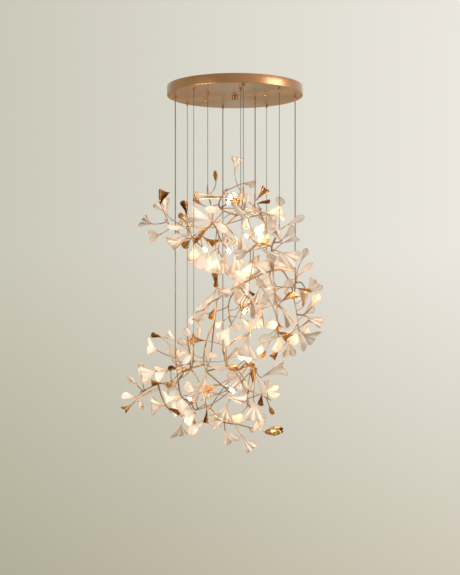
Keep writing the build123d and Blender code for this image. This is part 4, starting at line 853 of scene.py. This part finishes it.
def ranged(tree, value, start=(0.0, 1.0), end=(0.0, 1.0)):
    """A value carried over from one range to another."""
    limits = {"From Min": start[0], "From Max": start[1], "To Min": end[0], "To Max": end[1]}
    return add_node(tree, "MapRange", {"Value": value}, **limits).outputs["Result"]


def multiplied(tree, colour, tint):
    mix = add_node(tree, "Mix", {6: colour, 7: tint}, data_type="RGBA", blend_type="MULTIPLY", Factor=1.0)
    return mix.outputs[2]


def larger(tree, first, second):
    return add_node(tree, "Math", {0: first, 1: second}, operation="MAXIMUM").outputs[0]


def length_of(tree, place):
    return add_node(tree, "VectorMath", {0: place}, operation="LENGTH").outputs["Value"]


def object_place(tree):
    return tree.nodes.new("ShaderNodeTexCoord").outputs["Object"]


def stretched(tree, stretch=EVENLY):
    """Object coordinates, stretched so that a texture runs along one direction."""
    return add_node(tree, "Mapping", {"Vector": object_place(tree)}, Scale=stretch).outputs["Vector"]


def rings(tree):
    """The distance from the canopy's middle, along which a noise draws turning marks."""
    split = add_node(tree, "SeparateXYZ", {"Vector": object_place(tree)})
    flat = add_node(tree, "CombineXYZ", {axis: split.outputs[axis] for axis in "XY"})
    return add_node(tree, "CombineXYZ", {"X": length_of(tree, flat.outputs["Vector"])}).outputs["Vector"]


def bump(tree, shader, height, strength, distance):
    node = add_node(tree, "Bump", {"Height": height}, Strength=strength, Distance=distance)
    tree.links.new(node.outputs["Normal"], shader.inputs["Normal"])


def metal(name, light, dark, rough, scale, grain=EVENLY, swing=0.10, spun=0.0, lacquer=0.0):
    """A metal with colour drift, uneven gloss and a fine grain, straight or in rings."""
    material, tree, shader = new_material(name)
    shader.inputs["Metallic"].default_value = 1.0
    colour = ramp(tree, noise(tree, stretched(tree), METAL_DRIFT), DRIFT_STOPS, (dark, light))
    tree.links.new(colour, shader.inputs["Base Color"])
    fine = noise(tree, rings(tree) if spun else stretched(tree, grain), scale, FINE_DETAIL)
    if spun:
        shader.inputs["Anisotropic"].default_value = spun
        tangent = add_node(tree, "Tangent", direction_type="RADIAL", axis="Z")
        tree.links.new(tangent.outputs["Tangent"], shader.inputs["Tangent"])
    if lacquer:
        shader.inputs["Coat Weight"].default_value = lacquer
        shader.inputs["Coat Roughness"].default_value = LACQUER_ROUGHNESS
    gloss = ranged(tree, fine, end=(rough - swing, rough + swing))
    tree.links.new(gloss, shader.inputs["Roughness"])
    bump(tree, shader, fine, METAL_RELIEF, METAL_GRAIN_DEPTH)
    return material


def leaf_material(name, light, dark, root_tint, rim_tint, rough, relief, metallic=0.0, dent_shade_tint=None):
    """A leaf's surface: drifting colour, which in porcelain also paints shade from leaf to leaf, a tinted
    root and rim, brightened in gilding as a painted highlight, fine veins with painted shade in streaks
    along them, and dents in gilding darkened as painted shade.
    """
    material, tree, shader = new_material(name)
    shader.inputs["Metallic"].default_value = metallic
    shader.inputs["Roughness"].default_value = rough
    place = tree.nodes.new("ShaderNodeTexCoord")
    colour = ramp(tree, noise(tree, place.outputs["Object"], LEAF_TONE_AND_SHADE_DRIFT), LEAF_STOPS, (dark, light))
    mapping = add_node(tree, "Mapping", {"Vector": place.outputs["UV"]}, Scale=VEIN_STRETCH)
    veins = noise(tree, mapping.outputs["Vector"], 1.0, FINE_DETAIL)
    # Painted shade: the veins darken the colour in streaks along the leaf
    colour = multiplied(tree, colour, ramp(tree, veins, VEIN_SHADE_STOPS, (VEIN_SHADE_TINT, WHITE)))
    height = veins
    if dent_shade_tint:
        dents = noise(tree, place.outputs["Object"], DENT_SCALE, DENT_DETAIL)
        # Painted shade: the gilding is darkened where its dents lie
        colour = multiplied(tree, colour, ramp(tree, dents, DENT_STOPS, (dent_shade_tint, WHITE)))
        both = add_node(tree, "Math", {0: dents, 2: veins}, operation="MULTIPLY_ADD")
        both.inputs[1].default_value = DENT_SHARE
        height = both.outputs[0]
    split = add_node(tree, "SeparateXYZ", {"Vector": place.outputs["UV"]})
    along = split.outputs["Y"]
    colour = multiplied(tree, colour, ramp(tree, along, ROOT_STOPS, (root_tint, WHITE)))
    aside = add_node(tree, "Math", {0: split.outputs["X"]}, operation="ABSOLUTE").outputs[0]
    rim = larger(tree, ranged(tree, aside, SIDE_RIM), ranged(tree, along, TIP_RIM))
    colour = multiplied(tree, colour, ramp(tree, rim, (0.0, 1.0), (WHITE, rim_tint)))
    tree.links.new(colour, shader.inputs["Base Color"])
    bump(tree, shader, height, relief, VEIN_DEPTH)
    return material


def porcelain_material():
    """Bisque porcelain, which lets a little light through."""
    # The dark end of the drift is painted shade: it turns whole leaves taupe, as leaves in shadow look
    material = leaf_material("porcelain", light=(0.94, 0.87, 0.77), dark=(0.72, 0.62, 0.52),
                             root_tint=(0.84, 0.63, 0.43), rim_tint=(0.84, 0.65, 0.46),
                             rough=0.45, relief=0.28)
    shader = material.node_tree.nodes["Principled BSDF"]
    shader.inputs["Subsurface Weight"].default_value = 0.12
    shader.inputs["Subsurface Radius"].default_value = (1.0, 0.55, 0.30)
    shader.inputs["Subsurface Scale"].default_value = 0.004
    return material


def plain_material(name, light, dark, rough, scale, depth, stretch=EVENLY):
    """A dull surface with drifting colour and a fine grain."""
    material, tree, shader = new_material(name)
    shader.inputs["Roughness"].default_value = rough
    fine = noise(tree, stretched(tree, stretch), scale)
    tree.links.new(ramp(tree, fine, DRIFT_STOPS, (dark, light)), shader.inputs["Base Color"])
    bump(tree, shader, fine, PLAIN_RELIEF, depth)
    return material


def lamp_material():
    """Frosted glass with the warm light of the lamp inside it."""
    material, tree, shader = new_material("lamp_glass")
    frost = noise(tree, stretched(tree), FROST_SCALE)
    colour = ramp(tree, frost, DRIFT_STOPS, LAMP_COLOURS)
    tree.links.new(colour, shader.inputs["Base Color"])
    tree.links.new(colour, shader.inputs["Emission Color"])
    shader.inputs["Emission Strength"].default_value = LAMP_GLOW
    shader.inputs["Roughness"].default_value = LAMP_ROUGHNESS
    bump(tree, shader, frost, LAMP_RELIEF, FROST_DEPTH)
    return material


porcelain = porcelain_material()
# The gilding's rim tint is above one: a painted highlight along each leaf's edge
gilded = leaf_material("gilded_brass", light=(0.82, 0.51, 0.23), dark=(0.50, 0.255, 0.092),
                       root_tint=(0.70, 0.60, 0.50), rim_tint=(1.3, 1.25, 1.2), rough=0.36, relief=0.4,
                       metallic=1.0, dent_shade_tint=GILDING_DENT_SHADE_TINT)
# A darker copy of the gilding for the inside of cups and buds: painted shade in the hollow, deepest
# towards the root, with a painted highlight on the mouth's rim
gilded_inside_shaded = leaf_material("gilded_brass_inside_shaded", light=(0.54, 0.29, 0.115), dark=(0.27, 0.125, 0.043),
                              root_tint=(0.45, 0.40, 0.35), rim_tint=(1.5, 1.4, 1.3), rough=0.45,
                              relief=0.4, metallic=1.0, dent_shade_tint=GILDING_DENT_SHADE_TINT)
# The wide swing from dark to light paints shade and golden highlights along the branches and twigs
branch_brass = metal("branch_brass", light=(0.53, 0.305, 0.127), dark=(0.24, 0.128, 0.047), rough=0.34,
                     scale=320.0)
pan_brass = metal("brushed_brass_pan", light=(0.45, 0.219, 0.084), dark=(0.36, 0.167, 0.062), rough=0.36,
                  scale=3.0, grain=(6.0, 6.0, 220.0), swing=0.07, lacquer=0.9)
# A lighter, paler copy of the pan's brass for its underside: a painted reflection of the pale room below
pan_under_painted_reflection = metal("brushed_brass_underside_painted_reflection", light=(0.57, 0.325, 0.170), dark=(0.49, 0.272, 0.140),
                  rough=0.34, scale=420.0, swing=0.05, spun=0.75)
polished = metal("polished_brass", light=(0.52, 0.315, 0.145), dark=(0.38, 0.215, 0.088), rough=0.20,
                 scale=500.0, swing=0.06)
zinc = metal("zinc_steel", light=(0.62, 0.63, 0.63), dark=(0.46, 0.47, 0.48), rough=0.36, scale=400.0)
wire = plain_material("steel_wire", light=(0.112, 0.072, 0.050), dark=(0.058, 0.037, 0.026), rough=0.45,
                      scale=900.0, depth=0.0001)
cord_jacket = plain_material("cord_jacket", light=(0.24, 0.19, 0.155), dark=(0.16, 0.125, 0.10),
                             rough=0.62, scale=1400.0, depth=0.0002, stretch=(1, 1, 0.5))
white_plastic = plain_material("white_plastic", light=(0.78, 0.78, 0.75), dark=(0.70, 0.70, 0.67),
                               rough=0.45, scale=90.0, depth=0.0001)

# The materials of each slot. The second covers the inside of cups, for gilding a darker copy with painted
# shade, and the pan's underside, a lighter copy with a painted reflection.
LOOKS = {
    "porcelain": (porcelain, porcelain),
    "gilded_brass": (gilded, gilded_inside_shaded),
    "branch_brass": (branch_brass,),
    "brushed_brass_pan": (pan_brass, pan_under_painted_reflection),
    "polished_brass": (polished,),
    "lamp_glass": (lamp_material(),),
    "steel_wire": (wire,),
    "cord_jacket": (cord_jacket,),
}

# Camera and cables


def route(points, resolution):
    """The points of a smooth line that is led by the given ones."""
    curve = bpy.data.curves.new("route", "CURVE")
    curve.dimensions = "3D"
    curve.resolution_u = resolution
    spline = curve.splines.new("NURBS")
    spline.points.add(len(points) - 1)
    for spot, point in zip(spline.points, points):
        spot.co = (*point, 1.0)
    spline.order_u = ROUTE_ORDER
    spline.use_endpoint_u = True
    holder = bpy.data.objects.new("route", curve)
    mesh = bpy.data.meshes.new_from_object(holder)
    line = np.array([tuple(v.co) for v in mesh.vertices])
    bpy.data.objects.remove(holder)
    bpy.data.curves.remove(curve)
    bpy.data.meshes.remove(mesh)
    return line


def make_camera():
    data = bpy.data.cameras.new("camera")
    data.lens = LENS
    data.sensor_width = SENSOR
    data.shift_y = SHIFT_UP
    camera = bpy.data.objects.new("camera", data)
    camera.location = (-VIEW_LEFT, -VIEW_DISTANCE, -VIEW_DROP)
    camera.rotation_euler = (math.pi / 2, 0, 0)
    bpy.context.scene.collection.objects.link(camera)
    bpy.context.scene.camera = camera


def make_cable(name):
    """A taut cable: a rope of twisted strands, or a round power cord."""
    tier, kind = GRIPPER_SHARES[name][2:]
    number = name[1:]
    top = gripper_place(name) + np.array([0, 0, CABLE_TOP])
    foot = cable_end(name) + np.array([0, 0, FERRULE_HEIGHT])
    length = top[2] - foot[2]
    steps = math.ceil(length / CABLE_STEP[kind] / (len(TAUT_SHARES) - 1))
    line = route([top + (foot - top) * share for share in TAUT_SHARES], steps)
    radius = CABLE_RADIUS[kind]
    twist = 2 * math.pi / STRAND_LAY if STRANDS[kind] else 0.0
    shape = Shape()
    tube(shape, line, np.full(len(line), radius), SIDES[kind], twist, STRANDS[kind], STRAND_DEPTH_SHARE)
    if kind == "power":
        cable = shape.piece(f"cable_{number}_power", "canopy", "cord_jacket", f"power_cord_{number}")
    else:
        cable = shape.piece(f"cable_{number}_steel", "canopy", "steel_wire", f"steel_cable_{number}")
    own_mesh(cable)


make_camera()
for name in GRIPPER_SHARES:
    make_cable(name)

# Canopy


def make_pan():
    """The pan with its rolled edge, turned marks below and brushed at the side."""
    r, h, w, e = CANOPY_RADIUS, CANOPY_HEIGHT, PAN_WALL, PAN_EDGE
    profile = [(0, -h)] + [(r * share, -h) for share in UNDERSIDE_SHARES]
    for angle in np.linspace(0, math.pi / 2, PAN_EDGE_STEPS):
        profile.append((r - e + e * math.sin(angle), -h + e - e * math.cos(angle)))
    profile += [(r, -h / 2), (r, -2 * PAN_BREAK), (r - PAN_BREAK, 0.0), (r - w, 0.0)]
    profile += [(r - w, -h + w + PAN_BEND), (r - w - PAN_BEND, -h + w), (0, -h + w)]
    shape = Shape()
    lathe(shape, profile, (0, 0, 0), UPRIGHT, SEGMENTS["pan"])
    # The underside takes the second material, a lighter copy with a painted reflection
    shape.slots = [int(all(shape.points[i][2] < WELD - h for i in face)) for face in shape.faces]
    shape.piece("canopy_shell", "canopy", "brushed_brass_pan", "canopy_pan", PAN_SHARP_ANGLE)


def make_fittings():
    """The boss, the knurled cap nuts and the grippers below the pan."""
    seat = -CANOPY_HEIGHT
    profile = scaled(BOSS_SHARES, BOSS_RADIUS, -BOSS_HEIGHT, seat)
    turned("boss_turned", "canopy", "centre_boss", profile, SEGMENTS["boss"], [(0, 0, 0)])
    profile = scaled(CAP_NUT_SHARES, CAP_NUT_RADIUS, -CAP_NUT_HEIGHT, seat)
    places = [(x, y, 0) for x, y in STUD_PLACES]
    turned("cap_nuts_knurled", "canopy", "cap_nuts", profile, SEGMENTS["nut"], places, **KNURLS)
    bore = PLUNGER_RADIUS + PLUNGER_GAP
    profile = [(0, seat + SHANK_HEIGHT), (SHANK_RADIUS, seat + SHANK_HEIGHT), (SHANK_RADIUS, seat)]
    profile += scaled(GRIPPER_BODY_SHARES, GRIPPER_RADIUS, -GRIPPER_HEIGHT, seat)
    profile += [(bore, seat - GRIPPER_HEIGHT), (bore, CABLE_TOP), (0, CABLE_TOP)]
    places = [gripper_place(name) for name in GRIPPER_SHARES]
    turned("grippers_turned", "canopy", "gripper_bodies", profile, SEGMENTS["gripper"], places)


def make_plunger(name):
    """The hollow sleeve that is pushed up to let a cable slide."""
    bore = CABLE_RADIUS[GRIPPER_SHARES[name][3]] + CABLE_GAP
    profile = scaled(PLUNGER_SHARES, PLUNGER_RADIUS, PLUNGER_FOOT - PLUNGER_TOP, PLUNGER_TOP)
    profile = [(bore, PLUNGER_TOP), *profile, (bore, PLUNGER_FOOT)]
    number = name[1:]
    turned("plunger_turned_" + number, "plunger_" + number, "gripper_plunger_" + number, profile,
           SEGMENTS["plunger"], [gripper_place(name)])


make_pan()
make_fittings()
for name in GRIPPER_SHARES:
    make_plunger(name)
for node, material in (
    ("ceiling_bracket", zinc),
    ("canopy_studs", zinc),
    ("centre_nipple", zinc),
    ("gripper_lock_nuts", zinc),
    ("lamp_driver", white_plastic),
    ("terminal_block", white_plastic),
):
    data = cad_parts[node].data
    data.materials.clear()
    data.materials.append(material)

# Sprays


def stem_radii(line, taper_shares, seed, solder_share):
    """A branch's radius along its line: tapered, a little uneven, flared where it is soldered."""
    run = run_along(line)
    start, end = taper_shares
    radius = STEM_RADIUS * (start + (end - start) * run / run[-1])
    swell = 1.0
    for k, (share, length) in enumerate(zip(SWELL_SHARES, SWELL_LENGTHS), 1):
        swell = swell + share * np.sin(run / length + k * seed)
    knots = np.exp(-(((run % KNOT_PITCH) - KNOT_PITCH / 2) / KNOT_LENGTH) ** 2)
    root = 1 + solder_share * np.exp(-run / SOLDER_LENGTH)
    tip = 1 + TIP_SOLDER_SHARE * solder_share * np.exp(-(run[-1] - run) / TIP_SOLDER_LENGTH)
    return radius * swell * (1 + KNOT_SHARE * knots) * root * tip


def make_stems(tier, arms):
    """A tier's branches and lamp arms, and the middle lines of the branches."""
    shape = Shape()
    centres = []
    for k, path in enumerate(STEM_SHARES[tier]):
        line = rounded(stem_points(tier, path))
        centres.append(line)
        solder = 0.0 if isinstance(path[0], str) else SOLDER_SHARE
        tube(shape, line, stem_radii(line, STEM_TAPER_SHARES, k, solder), SIDES["stem"])
    for k, (start, end) in enumerate(arms, ARM_SEED):
        line = rounded([start, (start + end) / 2 - np.array([0, 0, ARM_SAG]), end])
        tube(shape, line, stem_radii(line, ARM_TAPER_SHARES, k, SOLDER_SHARE), SIDES["stem"])
    shape.piece(tier + "_stems", tier + "_tier", "branch_brass", tier + "_branches")
    return np.concatenate(centres)


def make_leaves(tier, centres):
    """A tier's leaves, each on a twig that curves to it from the nearest branch."""
    twigs = Shape()
    leaves = {"porcelain": Shape(), "gold": Shape()}
    for finish, kind, length, width, neck, axes, foot, index in stand_of_leaves(tier):
        root = centres[np.argmin(np.linalg.norm(centres - foot, axis=1))]
        start = unit(neck - root)
        if np.linalg.norm(foot - root) > NEAR:
            start = unit(FOOT_PULL_SHARE * unit(foot - root) + start)
        line = bent(root, start, neck + axes[0] * COLLAR_LENGTH, axes[0])
        share = np.linspace(0, 1, len(line))
        run = share * np.linalg.norm(neck - root)
        thick, thin = TWIG_TAPER_SHARES
        radii = TWIG_RADIUS * (thick + (thin - thick) * share)
        radii *= 1 + TWIG_SWELL_SHARE * np.sin(share * TWIG_SWELLS + index)
        radii *= 1 + TWIG_ROOT_SHARE * np.exp(-run / TWIG_ROOT_LENGTH)
        radii *= 1 + COLLAR_SHARE * np.exp(-(((run[-1] - run) / COLLAR_LENGTH - 1) ** 2))
        tube(twigs, line, radii, SIDES["twig"])
        add_leaf(leaves[finish], kind, length, width, THICK[finish], neck, axes, index)
    body = tier + "_tier"
    twigs.piece(tier + "_twigs_curved", body, "branch_brass", tier + "_twigs")
    leaves["porcelain"].piece(tier + "_ginkgo_porcelain", body, "porcelain", tier + "_porcelain_leaves")
    leaves["gold"].piece(tier + "_ginkgo_gilded", body, "gilded_brass", tier + "_gold_leaves")


def make_spray(tier):
    """A tier's branches, leaves, lamps in their holders, and the ferrules of its cables."""
    arms = [[placed(tier, stop) for stop in arm] for arm in LAMP_SHARES[tier]]
    make_leaves(tier, make_stems(tier, arms))
    body = tier + "_tier"
    ends = [end for _, end in arms]
    axes = [end - start for start, end in arms]
    profile = scaled(HOLDER_SHARES, HOLDER_RADIUS, HOLDER_HEIGHT)
    turned(tier + "_holders_turned", body, tier + "_lamp_holders", profile, SEGMENTS["holder"], ends, axes)
    profile = scaled(BULB_SHARES, LAMP_RADIUS, LAMP_HEIGHT, HOLDER_HEIGHT)
    turned(tier + "_lamps_glass", body, tier + "_lamps", profile, SEGMENTS["bulb"], ends, axes,
           "lamp_glass", SHARP_ANGLE)
    profile = scaled(FERRULE_SHARES, FERRULE_RADIUS, FERRULE_HEIGHT)
    ends = [cable_end(name) for name, share in GRIPPER_SHARES.items() if share[2] == tier]
    turned(tier + "_ferrules_crimped", body, tier + "_ferrules", profile, SEGMENTS["ferrule"], ends)


for tier in TIERS:
    make_spray(tier)

# Room and light

FLOOR_HEIGHT = -2.70
FLOOR_RADIUS = 2.0
FLOOR_SIDES = 64
FLOOR_FADE = (3.0, 3.36)
FLOOR_ROUGHNESS = 0.9
PALE = (0.60, 0.60, 0.52)

# What shows behind the object: colours from left to right, times a shade from low to high
BACK_ACROSS = (-0.20, 0.20)
BACK_COLOURS = ((0.60, 0.585, 0.49), (0.83, 0.80, 0.74))
BACK_UP = (-0.25, 0.05)
BACK_SHADES = ((0.74, 0.71, 0.62), WHITE)
WORLD_COLOUR = (1.0, 0.88, 0.765, 1.0)
WORLD_LIGHT = 0.245

# Area lights: place, aim, size, power and colour
LIGHTS = {
    "key": ((3.6, -1.5, 0.2), (0, 0, -0.7), 2.0, 74.0, (1.0, 0.98, 0.95)),
    "low": ((-2.7, -1.9, -1.9), (0, 0, -1.1), 1.2, 121.0, (1.0, 0.97, 0.93)),
    "back": ((0.3, 2.7, 2.2), (0, 0, -0.9), 1.6, 62.0, (1.0, 0.98, 0.96)),
}


def make_floor():
    """A pale floor that fades out towards its edge."""
    turns = np.linspace(0, 2 * np.pi, FLOOR_SIDES, endpoint=False)
    rim = [(FLOOR_RADIUS * math.cos(t), FLOOR_RADIUS * math.sin(t), FLOOR_HEIGHT) for t in turns]
    mesh = bpy.data.meshes.new("floor")
    mesh.from_pydata(rim, [], [tuple(range(FLOOR_SIDES))])
    floor = bpy.data.objects.new("floor", mesh)
    bpy.context.scene.collection.objects.link(floor)
    material, tree, shader = new_material("floor")
    shader.inputs["Base Color"].default_value = (*PALE, 1.0)
    shader.inputs["Roughness"].default_value = FLOOR_ROUGHNESS
    fade = ranged(tree, length_of(tree, object_place(tree)), FLOOR_FADE, (1.0, 0.0))
    tree.links.new(fade, shader.inputs["Alpha"])
    mesh.materials.append(material)


def make_world():
    """Even studio light. What the camera and gloss see behind the object is a pale grey-green."""
    world = bpy.data.worlds.new("studio")
    world.use_nodes = True
    bpy.context.scene.world = world
    tree = world.node_tree
    tree.nodes.clear()
    place = tree.nodes.new("ShaderNodeTexCoord").outputs["Generated"]
    split = add_node(tree, "SeparateXYZ", {"Vector": place})
    colour = ramp(tree, ranged(tree, split.outputs["X"], BACK_ACROSS), (0.0, 1.0), BACK_COLOURS)
    shade = ramp(tree, ranged(tree, split.outputs["Z"], BACK_UP), (0.0, 1.0), BACK_SHADES)
    path = tree.nodes.new("ShaderNodeLightPath").outputs
    direct = larger(tree, path["Is Camera Ray"], path["Is Glossy Ray"])
    direct = larger(tree, direct, path["Is Transmission Ray"])
    lit = add_node(tree, "Background", Color=WORLD_COLOUR, Strength=WORLD_LIGHT)
    shown = add_node(tree, "Background", {"Color": multiplied(tree, colour, shade)}, Strength=1.0)
    mix = add_node(tree, "MixShader", {"Fac": direct, 1: lit.outputs[0], 2: shown.outputs[0]})
    add_node(tree, "OutputWorld", {"Surface": mix.outputs[0]})


def area_light(name, place, aim, size, power, colour):
    data = bpy.data.lights.new(name, "AREA")
    data.shape = "SQUARE"
    data.size = size
    data.energy = power
    data.color = colour
    light = bpy.data.objects.new(name, data)
    light.location = place
    towards = Vector(aim) - Vector(place)
    light.rotation_euler = towards.to_track_quat("-Z", "Y").to_euler()
    bpy.context.scene.collection.objects.link(light)


make_floor()
make_world()
for name, values in LIGHTS.items():
    area_light(name, *values)
bpy.context.scene.view_settings.view_transform = "Standard"
